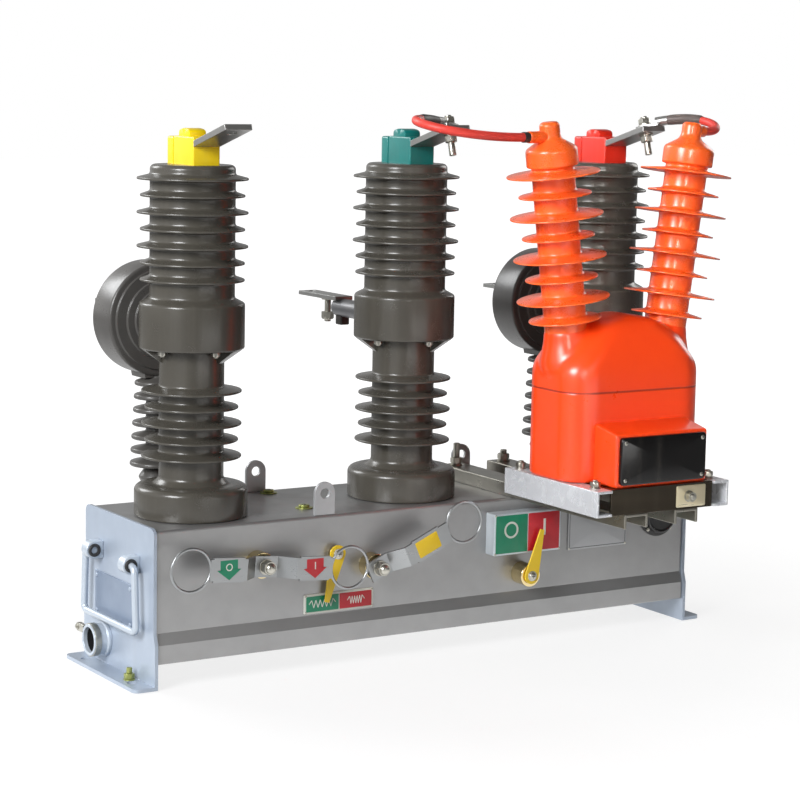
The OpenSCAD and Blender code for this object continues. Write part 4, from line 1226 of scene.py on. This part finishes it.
@dataclass(frozen=True)
class VoltageTransformer:
    """The orange transformer: body, terminal box with its cover, two bushings and the bracket's bolts.

    A side is -1 for the left bushing and 1 for the right one; pairs of sizes are left, then right.
    """

    x: float = 0.189
    y: float = -0.259
    base: float = 0.271
    size: Vec3 = (0.230, 0.128, 0.226)
    corner: float = 0.040
    heights: Row = (0, 0.66, 0.7, 0.86, 0.91, 0.955, 0.98, 0.995, 1.0)
    widths: Row = (1, 1, 0.985, 0.745, 0.66, 0.53, 0.4, 0.2, 0.0)
    box: Vec3 = (0.156, 0.048, 0.074)
    box_fall: float = 0.009
    box_edge: Line = ((0.003, 0.0), (0.0012, 0.0005), (0.0003, 0.0014), (0.0, 0.003))
    cover: Vec3 = (0.145, 0.065, 0.006)
    foot: Vec2 = (0.088, 0.491)
    lean: float = 7.5
    core_r: float = 0.0295
    core_low: float = -0.030
    pitch: float = 0.0286
    shed_r: Row = (0.050, 0.064) * 4
    shed_t: Vec2 = (0.006, 0.0024)
    crown: float = 7.37
    head: Vec2 = (0.0355, 0.024)
    nipple: Vec2 = (0.014, 0.036)
    flare_waist: Line = ((0.034, -0.085), (0.041, -0.062), (0.037, -0.046), (0.0318, -0.028))
    flare_top: Vec2 = (0.0298, -0.010)
    nozzle_rise: Vec2 = (0.42, 0.65)
    nozzle_turn: Vec2 = (186.4, 5.1)
    nozzle_reach: Vec2 = (0.040, 0.024)
    nozzle_r: Vec2 = (0.0095, 0.008)
    rail_bolts: Line = ((0.092, -0.176), (0.286, -0.176), (0.092, -0.352), (0.286, -0.352))
    earth_pad: Vec3 = (0.050, 0.030, 0.0015)
    earth_x: Vec2 = (0.238, 0.2336)
    earth_z: float = 0.253
    arm_bolts: Line = ((0.146, 2.2), (0.232, 0.6))
    arm_bolt_y: Vec2 = (0.072, -0.080)
    arm_top: float = 0.235

    def body(self) -> Surface:
        """Lofts the body from round-cornered rings.

        The half width follows a table of shares of the height and the width, smoothed by a bell curve;
        the half depth is d/2 (0.3 + 0.7 cos a) with sin a = (z/h - 0.62) / 0.38.

        Returns:
            The closed body, without its terminal box.
        """
        w, d, h = self.size
        z = np.linspace(0, h, 90)
        fine = np.linspace(0, 1, 401)
        wide = np.interp(fine, self.heights, self.widths)
        reach, bell = 24, 9.0
        soft = np.exp(-0.5 * (np.arange(-reach, reach + 1) / bell) ** 2)
        beyond = np.maximum(-wide[-2 : -reach - 2 : -1], -1)
        wide = np.convolve(np.concatenate([np.ones(reach), wide, beyond]), soft / soft.sum(), "valid")
        half_w = np.maximum(w / 2 * np.interp(z / h, fine, wide), 0.003)
        rise = np.clip((z / h - 0.62) / 0.38, 0, 1)
        half_d = d / 2 * (0.3 + 0.7 * np.sqrt(1 - rise**2))
        round_r = np.minimum(self.corner, 0.96 * np.minimum(half_w, half_d))
        rings = rect_ring(2 * half_w, 2 * half_d, np.repeat(round_r[:, None], 4, 1), 14)
        return stacked(rings, z).at(Seat.of((self.x, self.y, self.base)))

    def terminal_box(self) -> Surface:
        """Lofts the terminal box forward from inside the body, its top falling and its front edge rounded.

        Returns:
            The closed box.
        """
        w, d, h = self.box
        edge = np.array(self.box_edge)
        out = np.concatenate([[0.0, self.corner], self.corner + d - edge[:, 0]])
        inset = np.concatenate([[0.0, 0.0], edge[:, 1]])
        tall = h + self.box_fall * (out <= self.corner)
        radii = np.full((len(out), 4), 0.0045) - inset[:, None] / 2
        rings = rect_ring(w - 2 * inset, tall - 2 * inset, radii, 5)
        rings[:, :, 1] += tall[:, None] / 2
        back = self.y - self.size[1] / 2 + self.corner
        return stacked(rings, out).at(Seat.of((self.x, back, self.base), OUT))

    def axis(self, side: int) -> Seat:
        """Gives a bushing's leaning axis at its lowest shed."""
        a = side * math.radians(self.lean)
        return Seat.of((self.x + side * self.foot[0], self.y, self.foot[1]), (math.sin(a), 0, math.cos(a)))

    def bushing_profile(self) -> Array:
        """Gives a bushing's outline along its axis, from its foot to its nipple.

        Returns:
            Rows of radius and height.
        """
        hr, hh = self.head
        nr, nh = self.nipple
        low = self.crown * self.pitch
        top = low + hh
        foot = [[0, self.core_low], [self.core_r, self.core_low], [self.core_r, -0.008]]
        sheds = shed_rows(0.0, self.pitch, self.shed_r, self.core_r, self.shed_t)
        head = [[self.core_r, low], [hr, low], [hr, top], [nr * 1.2, top + nh / 3], [nr, top + nh / 2]]
        tip = [[nr, top + nh * 0.9], [nr * 0.75, top + nh], [0, top + nh]]
        return soften(np.vstack([foot, sheds, head, tip]), 0.004, 5)

    def flare(self, side: int) -> Surface:
        """Turns the flared foot that carries a bushing out of the body's shoulder."""
        line = [[0, self.flare_waist[0][1]], *self.flare_waist, self.flare_top, [0, self.flare_top[1]]]
        return revolve(soften(np.array(line), 0.006, 5), 72).at(self.axis(side))

    def nozzle(self, side: int) -> tuple[Seat, float]:
        """Gives a bushing's nozzle.

        Args:
            side: The bushing's side.

        Returns:
            The nozzle's root on the bushing's axis, with Z along the nozzle, and its reach from there.
        """
        which = max(side, 0)
        rise = self.crown * self.pitch + self.head[1] + self.nipple[1] * self.nozzle_rise[which]
        a = math.radians(self.lean)
        u = self.foot[0] + rise * math.sin(a)
        root = (self.x + side * u, self.y, self.foot[1] + rise * math.cos(a))
        return Seat.of(root, (*around(1.0, self.nozzle_turn[which]), 0), UP), self.nozzle_reach[which]

    def bushing(self, side: int, node: str) -> None:
        """Turns one bushing on its leaning axis and adds its nozzle.

        Args:
            side: The bushing's side.
            node: The CAD node that it stands for.
        """
        seat, reach = self.nozzle(side)
        root, tip = self.nozzle_r
        line = soften(np.array([[0, 0], [root, 0], [tip, reach * 0.7], [tip, reach], [0, reach]]), 0.0015)
        piece = Piece(node + "_casting")
        # painted highlight: the bushing's resin is the lighter, more orange copy of the body's
        piece.add(LIT_BUSHING_RESIN, revolve(self.bushing_profile(), 96).at(self.axis(side)))
        piece.add(LIT_BUSHING_RESIN, revolve(line, 32).at(seat))
        piece.build("vt_resin", node)

    def build(self) -> None:
        """Builds body, terminal box, bushings and cover, and bolts the body to its rails."""
        body = Piece("vt_body_casting").add(VT_RESIN, self.body(), self.flare(-1), self.flare(1))
        fuse(body.build("vt_resin", "vt_body"), 0.003, 14)
        Piece("vt_terminal_box").add(VT_RESIN, self.terminal_box()).build("vt_resin")
        self.bushing(-1, "vt_bushing_left")
        self.bushing(1, "vt_bushing_right")
        self.lid()
        self.bolts()

    def lid(self) -> None:
        """Closes the terminal box with its black cover on four screws."""
        w, h, t = self.cover
        front = self.y - self.size[1] / 2 - self.box[1]
        seat = Seat.of((self.x, front, self.base + self.box[2] / 2), OUT)
        lid = Piece("vt_cover_lid").add(COVER_BLACK, block(self.cover, 0.005, 0.002).at(seat))
        for x, y in corners(w, h, 0.007):
            head, *cross = screw(0.0032, seat.moved(x, y, t - 0.001))
            # painted shade: the cross's recess is drawn as dark bars on the head
            lid.add(ZINC, head).add(INK_AND_RECESS_SHADE, *cross)
        lid.build("vt_cover_black", "vt_terminal_cover")

    def bolts(self) -> None:
        """Bolts the body to its rails and the arms to the housing, and sets the earth pad on the base plate."""
        piece = Piece("vt_bracket_bolts")
        for x, y in self.rail_bolts:
            piece.add(ZINC, *Bolt(0.008).parts(Seat.of((x, y, self.base))))
        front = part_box("vt_base_plate")[0][1]
        pad_x, bolt_x = self.earth_x
        piece.add(EARTH_PAD, block(self.earth_pad, 0.002, 0.0005).at(Seat.of((pad_x, front, self.earth_z), OUT)))
        piece.add(ZINC, *Bolt(0.008).parts(Seat.of((bolt_x, front - self.earth_pad[2], self.earth_z), OUT)))
        far, near = self.arm_bolt_y
        for x, stub in self.arm_bolts:
            piece.add(ZINC, *Bolt(0.010, stub=stub).parts(Seat.of((x, far, self.arm_top))))
            piece.add(ZINC, *Bolt(0.010).parts(Seat.of((x, near, self.arm_top))))
        piece.build("rail_steel")


@dataclass(frozen=True)
class Lead:
    """A red lead from a bushing's nozzle to a bar, with its lug and sleeves."""

    node: str
    side: int
    bar_x: float
    lug_turn: float
    first: Vec3
    last: Vec3
    sleeve: Finish
    sleeve_span: Vec2
    radius: float = 0.006
    bend: float = 0.060
    lug: Vec3 = (0.026, 0.034, 0.004)
    bar_root: Vec2 = (-0.054, 0.727)
    bar_hole: float = 0.072
    bar_t: float = 0.008
    tilt: float = 15.5

    def seat(self) -> Seat:
        """Gives the seat at the bar's hole: Z out of the bar, X from the bolt towards the lead."""
        root = Seat.of((self.bar_x, *self.bar_root), (0, *around(1.0, self.tilt)[::-1]))
        return root.moved(y=-self.bar_hole).turned(self.lug_turn)

    def path(self, transformer: VoltageTransformer) -> Array:
        """Gives the run as the cubic (1-t)^3 A + 3t(1-t)^2 P + 3t^2(1-t) Q + t^3 B, after a short straight.

        Args:
            transformer: The transformer that the lead starts from.

        Returns:
            Points of the run as rows.
        """
        mouth, reach = transformer.nozzle(self.side)
        a = mouth.point(0, 0, reach + 1.5 * self.radius)
        b = self.seat().point(self.lug[1] / 2, 0, 1.2 * self.radius)
        p, q = a + self.bend * np.array(self.first), b + self.bend * np.array(self.last)
        t = np.linspace(0, 1, 38)[:, None]
        run = (1 - t) ** 3 * a + 3 * t * (1 - t) ** 2 * p + 3 * t**2 * (1 - t) * q + t**3 * b
        return np.vstack([mouth.point(0, 0, reach), run])

    def build(self, transformer: VoltageTransformer) -> None:
        """Makes the lead as a tube, with its sleeves, and the lug with its bolt through the bar.

        Args:
            transformer: The transformer that the lead starts from.
        """
        path = self.path(transformer)
        cord = Piece(self.node + "_cable").add(LEAD_RED, tube(path, self.radius)).build("lead_red_rubber")
        low, high = (int(round(s * (len(path) - 1))) for s in self.sleeve_span)
        part = path[low : high + 1]
        swell = self.radius + np.concatenate([[0.0003], np.full(len(part) - 2, 0.0014), [0.0008]])
        fittings = Piece(self.node + "_fittings").add(self.sleeve, tube(part, swell))
        if self.side < 0:
            fittings.add(LEAD_BLACK, tube(path[:2], self.radius + 0.0012))
        w, length, t = self.lug
        seat = self.seat()
        plate = block((length * 1.1, w, t), (0.003, 0.012, 0.012, 0.003), 0.0006, 8)
        fittings.add(TINNED, plate.at(seat.moved(x=0.15 * length)))
        fittings.add(TINNED, tube(path[-5:], self.radius + 0.0009))
        fittings.add(ZINC, *Bolt(0.010).parts(seat.moved(z=t)))
        under = seat.moved(z=-self.bar_t)
        flipped = Seat(under.origin, under.axes * np.array([[1], [-1], [-1]]))
        fittings.add(ZINC, *Bolt(0.010, stub=1.9).parts(flipped))
        lug = fittings.build("terminal_metal", self.node)
        length = float(np.linalg.norm(np.diff(path, axis=0), axis=1).sum())


@dataclass(frozen=True)
class LeverGear:
    """Rocker, charging lever and pointers on the operating face, with nuts, stickers and collars.

    An axis is its X, its Z and the turn of what rides on it, in degrees.
    """

    hub_out: float = 0.028
    pad_out: float = 0.046
    rocker: Vec3 = (-0.292, 0.158, -4.4)
    rocker_pad: float = 0.066
    charging: Vec3 = (-0.112, 0.139, 24.0)
    charging_pad: float = 0.074
    nut: Bolt = Bolt(0.011, dome=True)
    arrow_size: Vec2 = (0.036, 0.027)
    arrow_half: Line = ((0.5, 0.02), (0.36, 0.02), (0.36, 0.5))
    sticker: float = 0.0004
    position: Vec3 = (0.145, 0.103, 0.0)
    position_out: float = 0.0305
    charge: Vec3 = (-0.169, 0.161, 0.0)
    charge_out: float = 0.010

    def arrow(self) -> Surface:
        """Cuts a broad arrow that points down, about its middle.

        Returns:
            The flat arrow.
        """
        half = np.array(self.arrow_half)
        outline = np.vstack([[[0, -0.5]], half, half[::-1] * [-1, 1]]) * self.arrow_size
        return slab(outline, self.sticker, 0.0001)

    def pad(self, piece: Piece, seat: Seat, finish: Finish, mark: Surface) -> None:
        """Sticks an upright arrow with a pale mark on a lever's pad.

        Args:
            piece: The piece that they are added to.
            seat: The pad's middle.
            finish: The arrow's finish.
            mark: The mark, about its own middle.
        """
        upright = Seat.of(seat.origin, seat.axes[2])
        piece.add(finish, self.arrow().at(upright))
        piece.add(LABEL_WHITE, mark.at(upright.moved(y=0.004, z=self.sticker)))

    def build(self) -> None:
        """Dresses the levers, their nuts and pads, and the pointers."""
        for skin in (
            CadSkin("rocker_lever", LEVER_STEEL, "lever_steel", 0.0008, "rocker"),
            CadSkin("charging_lever", LEVER_STEEL, "lever_steel", 0.0008, "charging_arm"),
            CadSkin("position_pointer", POINTER_PAINT, "pointer_yellow", 0.0006, "position_indicator"),
            CadSkin("charge_pointer", POINTER_PAINT, "pointer_yellow", 0.0006, "charge_indicator"),
            CadSkin("shaft_bosses", BRASS, "boss_steel", 0.001),
        ):
            skin.build()
        seat = on_face(*self.rocker)
        trim = Piece("rocker_trim", "rocker").add(ZINC, *self.nut.parts(seat.moved(z=self.hub_out)))
        ring = revolve(hoop(0.0036, 0.005, 0.0002), 32)
        bar = block((0.0016, 0.010, 0.0002), 0.0003, 0.0001, 3)
        self.pad(trim, seat.moved(x=-self.rocker_pad, z=self.pad_out), LABEL_GREEN, ring)
        self.pad(trim, seat.moved(x=self.rocker_pad, z=self.pad_out), LABEL_RED, bar)
        trim.build("lever_steel")
        seat = on_face(*self.charging)
        trim = Piece("charging_trim", "charging_arm").add(ZINC, *self.nut.parts(seat.moved(z=self.hub_out)))
        sticker = block((0.038, 0.024, self.sticker), 0.0015, 0.0001, 4)
        trim.add(POINTER_PAINT, sticker.at(seat.moved(x=self.charging_pad, z=self.pad_out)))
        trim.build("lever_steel")
        self.collar("position_screw", "position_indicator", self.position, self.position_out)
        self.collar("charge_screw", "charge_indicator", self.charge, self.charge_out)

    def collar(self, name: str, body: str, place: Vec3, out: float) -> None:
        """Fastens a pointer with a screw on a washer.

        Args:
            name: The piece's name.
            body: The CAD body that it rides on.
            place: The pointer's axis.
            out: How far the washer lies out of the face.
        """
        seat = on_face(*place).moved(z=out)
        head, *cross = screw(0.0055, seat.moved(z=0.001))
        piece = Piece(name, body).add(ZINC, disc(0.0075, 0.001, 0.0003).at(seat), head)
        # painted shade: the cross's recess is drawn as dark bars on the head
        piece.add(INK_AND_RECESS_SHADE, *cross).build("boss_steel")


@dataclass(frozen=True)
class FacePlates:
    """Indicator boxes, the blank name plate and the round socket on the operating face."""

    position: Vec2 = (0.142, 0.166)
    position_size: Vec3 = (0.117, 0.061, 0.021)
    charge: Vec2 = (-0.162, 0.092)
    charge_size: Vec3 = (0.111, 0.028, 0.002)
    coils: Line = ((-0.027, 0.017), (0.027, 0.010))
    coil_turns: int = 11
    coil_half: float = 0.0055
    coil_end: float = 0.004
    name: Vec2 = (0.282, 0.157)
    name_size: Vec3 = (0.108, 0.059, 0.002)
    name_border: float = 0.003
    field_t: float = 0.0004
    field_gap: float = 0.0016
    mark_rise: float = 0.006
    socket: Vec2 = (0.394, 0.168)
    socket_flange: Vec2 = (0.033, 0.004)
    socket_rim: Line = ((0.027, 0.004), (0.0265, 0.013), (0.024, 0.014), (0.0225, 0.0115))
    socket_bolt_r: float = 0.0298

    def halves(self, piece: Piece, seat: Seat, size: Vec3, border: float) -> None:
        """Lays a green field and a red field on a plate, a pale line between them.

        Args:
            piece: The piece that they are added to.
            seat: The plate's seat on the face.
            size: The plate's width, height and thickness.
            border: Width of the border that stays free.
        """
        w, h, t = size
        wide = (w - 2 * border - self.field_gap) / 2
        half = block((wide, h - 2 * border, self.field_t), 0.0008, 0.0001, 3)
        for sign, finish in ((-1, LABEL_GREEN), (1, LABEL_RED)):
            piece.add(finish, half.at(seat.moved(x=sign * (wide + self.field_gap) / 2, z=t)))

    def position_plate(self, piece: Piece) -> None:
        """Adds the position indicator's box with a ring and a bar on its two fields.

        Args:
            piece: The piece that it is added to.
        """
        seat = on_face(*self.position)
        w, _, t = self.position_size
        piece.add(BOX_STEEL, block(self.position_size, 0.002, 0.0012).at(seat))
        self.halves(piece, seat, self.position_size, 0.0028)
        marks = seat.moved(y=self.mark_rise, z=t + self.field_t)
        piece.add(LABEL_WHITE, revolve(hoop(0.0092, 0.0122, 0.0003), 56).at(marks.moved(x=-w / 4)))
        piece.add(LABEL_WHITE, block((0.0038, 0.024, 0.0003), 0.0004, 0.0001, 3).at(marks.moved(x=w / 4)))

    def charge_plate(self, piece: Piece) -> None:
        """Adds the charge indicator's plate with a long and a short spring on its two fields.

        Args:
            piece: The piece that it is added to.
        """
        seat = on_face(*self.charge)
        piece.add(LABEL_WHITE, block(self.charge_size, 0.002, 0.0006).at(seat))
        self.halves(piece, seat, self.charge_size, 0.003)
        n = self.coil_turns
        for x, half in self.coils:
            zigzag = self.coil_half * np.tile([1, -1], n)[:n]
            coil = np.column_stack([np.linspace(-half, half, n), zigzag, np.zeros(n)])
            end = np.array([[half + self.coil_end, 0, 0]])
            line = tube(soften(np.vstack([-end, coil, end]), 0.0008, 3), 0.0006, 8)
            piece.add(LABEL_WHITE, line.at(seat.moved(x=x, z=self.charge_size[2] + self.field_t)))

    def name_plate(self, piece: Piece) -> None:
        """Adds the blank name plate with a thin line round it.

        Args:
            piece: The piece that it is added to.
        """
        seat = on_face(*self.name)
        w, h, t = self.name_size
        b = self.name_border
        piece.add(LABEL_GREY, block(self.name_size, 0.002, 0.0006).at(seat))
        level = block((w - 2 * b, 0.0008, 0.0002), 0.0002, 0.0001, 2)
        upright = block((0.0008, h - 2 * b, 0.0002), 0.0002, 0.0001, 2)
        for sign in (-1, 1):
            piece.add(INK_AND_RECESS_SHADE, level.at(seat.moved(y=sign * (h / 2 - b), z=t)))
            piece.add(INK_AND_RECESS_SHADE, upright.at(seat.moved(x=sign * (w / 2 - b), z=t)))

    def build(self) -> None:
        """Builds the two indicator plates, the name plate, their screws and the socket."""
        piece = Piece("face_plate_set")
        self.position_plate(piece)
        self.charge_plate(piece)
        self.name_plate(piece)
        for place, (w, h, t) in (
            (self.name, self.name_size),
            (self.position, self.position_size),
            (self.charge, self.charge_size),
        ):
            for x, y in corners(w, h, 0.0025):
                piece.add(ZINC, screw(0.0019, on_face(*place).moved(x, y, t - 0.0004))[0])
        piece.build("label_plate", "face_plates")
        seat = on_face(*self.socket)
        r, t = self.socket_flange
        line = np.array([[0, 0], [r, 0], [r, t], *self.socket_rim, [0, self.socket_rim[-1][1]]])
        piece = Piece("socket_shell").add(SOCKET_BLACK, revolve(soften(line, 0.0012), 64).at(seat))
        for turn in (45, 135, 225, 315):
            spot = seat.moved(*around(self.socket_bolt_r, turn), t)
            piece.add(ZINC, *Bolt(0.0032, plain_washer=False).parts(spot))
        piece.build("socket_black", "control_socket")


@dataclass(frozen=True)
class Enclosure:
    """Housing, end plates, lugs, handles, end cover, bracket, gland and the bolts about them."""

    top: float = 0.215
    pivot: Vec2 = (0.4615, 0.163)
    rod: float = 0.0048
    handle_leg: Line = ((0.050, 0.163), (0.0775, 0.163), (0.0835, 0.074))
    grommets: tuple[Vec3, ...] = ((-0.067, -1, 0), (-0.0465, 1, -0.0025), (0.0465, -1, -0.0025), (0.067, 1, 0))
    earth_stud: Vec3 = (-0.4595, -0.0585, 0.005)
    top_bolts: Line = ((-0.1725, 0.0806), (-0.1845, -0.0448), (0.1605, 0.0806))
    gland: Vec3 = (0.044, 0.039, 0.022)
    gland_flange: Vec2 = (0.0245, 0.005)
    gland_bore: Vec2 = (0.0178, 0.0172)
    gland_floor: float = 0.006
    band: Vec2 = (0.009, 0.0105)
    ear: Vec3 = (0.012, 0.008, 0.016)
    ear_offset: Vec3 = (0.004, 0.018, 0.011)

    def build(self) -> None:
        """Dresses the plate work and adds its fittings."""
        for skin in (
            CadSkin("housing", HOUSING_PAINT, "housing_paint", 0.0022, sharp=4.0),
            CadSkin("end_plate_left", PLATE_PAINT, "plate_paint", 0.0016),
            CadSkin("end_plate_right", PLATE_PAINT, "plate_paint", 0.0016),
            CadSkin("lifting_lugs", LUG_STEEL, "lug_steel", 0.0012),
        ):
            skin.build()
        self.handle("left_handle", "carry_handle_left", -1)
        self.handle("right_handle", "carry_handle_right", 1)
        for skin in (
            CadSkin("handle_bosses", HANDLE_PAINT, "handle_paint", 0.0014),
            CadSkin("end_cover", COVER_PAINT, "plate_paint", 0.0012),
            CadSkin("vt_rail_left", RAIL_STEEL, "rail_steel", 0.0012),
            CadSkin("vt_rail_right", RAIL_STEEL, "rail_steel", 0.0012),
            CadSkin("vt_arm_left", ARM_STEEL, "arm_steel", 0.0012),
            CadSkin("vt_arm_right", ARM_STEEL, "arm_steel", 0.0012),
            # the base plate carries the painted dark reflection
            CadSkin("vt_base_plate", DARK_REFLECTION_BASE_STEEL, "rail_steel", 0.0008),
        ):
            skin.build()
        self.fittings()
        self.cable_entry()

    def handle(self, node: str, body: str, sign: int) -> None:
        """Bends one handle from a rod: two stubs in the bosses, two splayed legs and a grip.

        Args:
            node: The CAD node that it stands for.
            body: The CAD body that it rides on.
            sign: The end that it hangs at, -1 for left and 1 for right.
        """
        half = np.array(self.handle_leg)
        bent = soften(np.vstack([half, half[::-1] * [-1, 1]]), 0.011, 9)
        path = np.column_stack([np.full(len(bent), sign * self.pivot[0]), bent])
        piece = Piece(node + "_rod", body).add(HANDLE_PAINT, tube(path, self.rod, 20, RIGHT))
        piece.build("handle_paint", node)

    def fittings(self) -> None:
        """Sets the earth stud, bolts on the top, screws on the end cover and grommets at the handles."""
        piece = Piece("housing_bolts")
        piece.add(YELLOW_ZINC, *Bolt(0.008, stub=1.0).parts(Seat.of(self.earth_stud)))
        washer, button = disc(0.0125, 0.0016), disc(0.0078, 0.0036, 0.0012)
        for x, y in self.top_bolts:
            seat = Seat.of((x, y, self.top))
            piece.add(YELLOW_ZINC, washer.at(seat), button.at(seat.moved(z=0.0016)))
            # painted shade: a thin dark hexagon on the button stands in for the shade in its hex socket
            piece.add(INK_AND_RECESS_SHADE, hexagon(0.005, 0.0003).at(seat.moved(z=0.0052)))
        low, high = box_of("end_cover")
        _, y, z = (low + high) / 2
        cover = Seat.of((low[0], y, z), LEFT, UP)
        for y, z in corners(*(high - low)[1:], 0.006):
            piece.add(PLATE_PAINT, *screw(0.0032, cover.moved(z, y)))
        line = np.array([[0.005, 0], [0.0095, 0], [0.0085, 0.0025], [0.005, 0.0025], [0.005, 0]])
        grommet = revolve(soften(line, 0.0008), 32)
        x, z = self.pivot
        for end in (-x, x):
            for y, out, sunk in self.grommets:
                piece.add(SOCKET_BLACK, grommet.at(Seat.of((end, y, z), (0, out, 0)).moved(z=sunk)))
        piece.build("boss_steel")

    def cable_entry(self) -> None:
        """Turns the gland's tube with a near-black lining in its bore as painted shade, and a clamp band with its ear
        and screw.
        """
        low, high = box_of("cable_gland")
        reach = float(high[0] - low[0])
        y, z, r = self.gland
        seat = Seat.of((high[0], y, z), LEFT, UP)
        (flange_r, flange_t), (mouth, throat), floor = self.gland_flange, self.gland_bore, self.gland_floor
        rim = [[0, 0], [flange_r, 0], [flange_r, flange_t], [r, flange_t + 0.0005], [r, reach]]
        rim += [[mouth, reach], [throat, floor], [0, floor]]
        bore = np.array([[0, 0.0062], [0.0168, 0.0062], [0.0171, reach - 0.006]])
        wide, back = self.band
        piece = Piece("gland_tube").add(HANDLE_PAINT, revolve(soften(np.array(rim), 0.0012), 64).at(seat))
        # the near-black lining inside the bore is painted shade
        piece.add(BORE_PAINTED_SHADE, revolve(bore, 64).at(seat))
        band = soften(hoop(r - 0.0005, r + 0.0012, wide), 0.0005)
        piece.add(ZINC, revolve(band, 64).at(seat.moved(z=reach - back)))
        ear = Seat.of(np.array([low[0], y, z]) + self.ear_offset, BACK, UP)
        piece.add(ZINC, block(self.ear, 0.002, 0.001).at(ear))
        piece.add(ZINC, *Bolt(0.007, plain_washer=False).parts(ear.moved(z=self.ear[2])))
        piece.build("handle_paint", "cable_gland")


@dataclass(frozen=True)
class Terminals:
    """Upper bars, outlet sleeves and lower pads of the three phases."""

    phases: str = "abc"
    bolt_y: float = 0.204
    bolt: Vec2 = (0.0048, 0.036)
    washer: Vec2 = (0.0095, 0.0028)
    nut: Vec3 = (0.0165, 0.011, 0.002)
    nut_drop: float = 0.021
    clamp_y: float = 0.160
    clamp: Vec3 = (0.016, 0.017, 0.014)

    def build(self) -> None:
        """Dresses the bars and pads, and builds the outlets."""
        for phase in self.phases:
            for bar in ("upper", "lower"):
                CadSkin(f"{bar}_terminal_{phase}", TINNED, "terminal_metal", 0.0008).build()
            self.outlet(phase)

    def outlet(self, phase: str) -> None:
        """Turns an outlet tube, and hangs the pad's bolt and a clamp block below it.

        Args:
            phase: The phase's letter.
        """
        low, high = box_of(f"outlet_sleeve_{phase}")
        x, _, z = (low + high) / 2
        r, reach = float(high[2] - low[2]) / 2, float(high[1] - low[1])
        line = np.array([[0, 0], [r, 0], [r, reach], [r * 0.3, reach], [0, reach - 0.001]])
        tubing = revolve(soften(line, 0.0012), 48).at(Seat.of((x, low[1], z), BACK))
        piece = Piece(f"outlet_tube_{phase}").add(SLEEVE_RESIN, tubing)
        under = Seat.of((x, self.bolt_y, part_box(f"lower_terminal_{phase}")[0][2]), DOWN)
        piece.add(ZINC, disc(*self.washer).at(under), disc(*self.bolt).at(under))
        piece.add(ZINC, hexagon(*self.nut).at(under.moved(z=self.nut_drop)))
        clamp = Seat.of((x, self.clamp_y, low[2] + 0.002), DOWN)
        piece.add(DARK_STEEL, block(self.clamp, 0.003, 0.002).at(clamp))
        piece.build("sleeve_resin", f"outlet_sleeve_{phase}")


LEADS = (
    Lead(
        "lead_green",
        side=-1,
        bar_x=-0.006,
        lug_turn=203.7,
        first=(-2.256, -0.253, 0.0),
        last=(-2.408, -1.057, 0.268),
        sleeve=LEAD_BLACK,
        sleeve_span=(0.84, 0.97),
    ),
    Lead(
        "lead_red",
        side=1,
        bar_x=0.334,
        lug_turn=-51.2,
        first=(0.659, 0.059, 0.04),
        last=(0.766, -0.952, 0.259),
        sleeve=LEAD_GREY,
        sleeve_span=(0.6, 0.93),
    ),
)


def main() -> None:
    """Builds the studio, the leads and every sub-assembly in order."""
    logging.basicConfig(level=logging.INFO, format="%(name)s %(message)s")
    Studio().build()
    transformer = VoltageTransformer()
    for lead in LEADS:
        lead.build(transformer)
    Enclosure().build()
    for phase in "abc":
        Pole(f"pole_{phase}").build()
    for node, finish in (("cap_yellow", CAP_YELLOW), ("cap_green", CAP_GREEN), ("cap_red", CAP_RED)):
        PhaseCap(node, finish).build()
    Terminals().build()
    for phase in "ac":
        CurrentTransformer(f"current_transformer_{phase}").build()
    transformer.build()
    LeverGear().build()
    FacePlates().build()


if __name__ == "__main__":
    main()
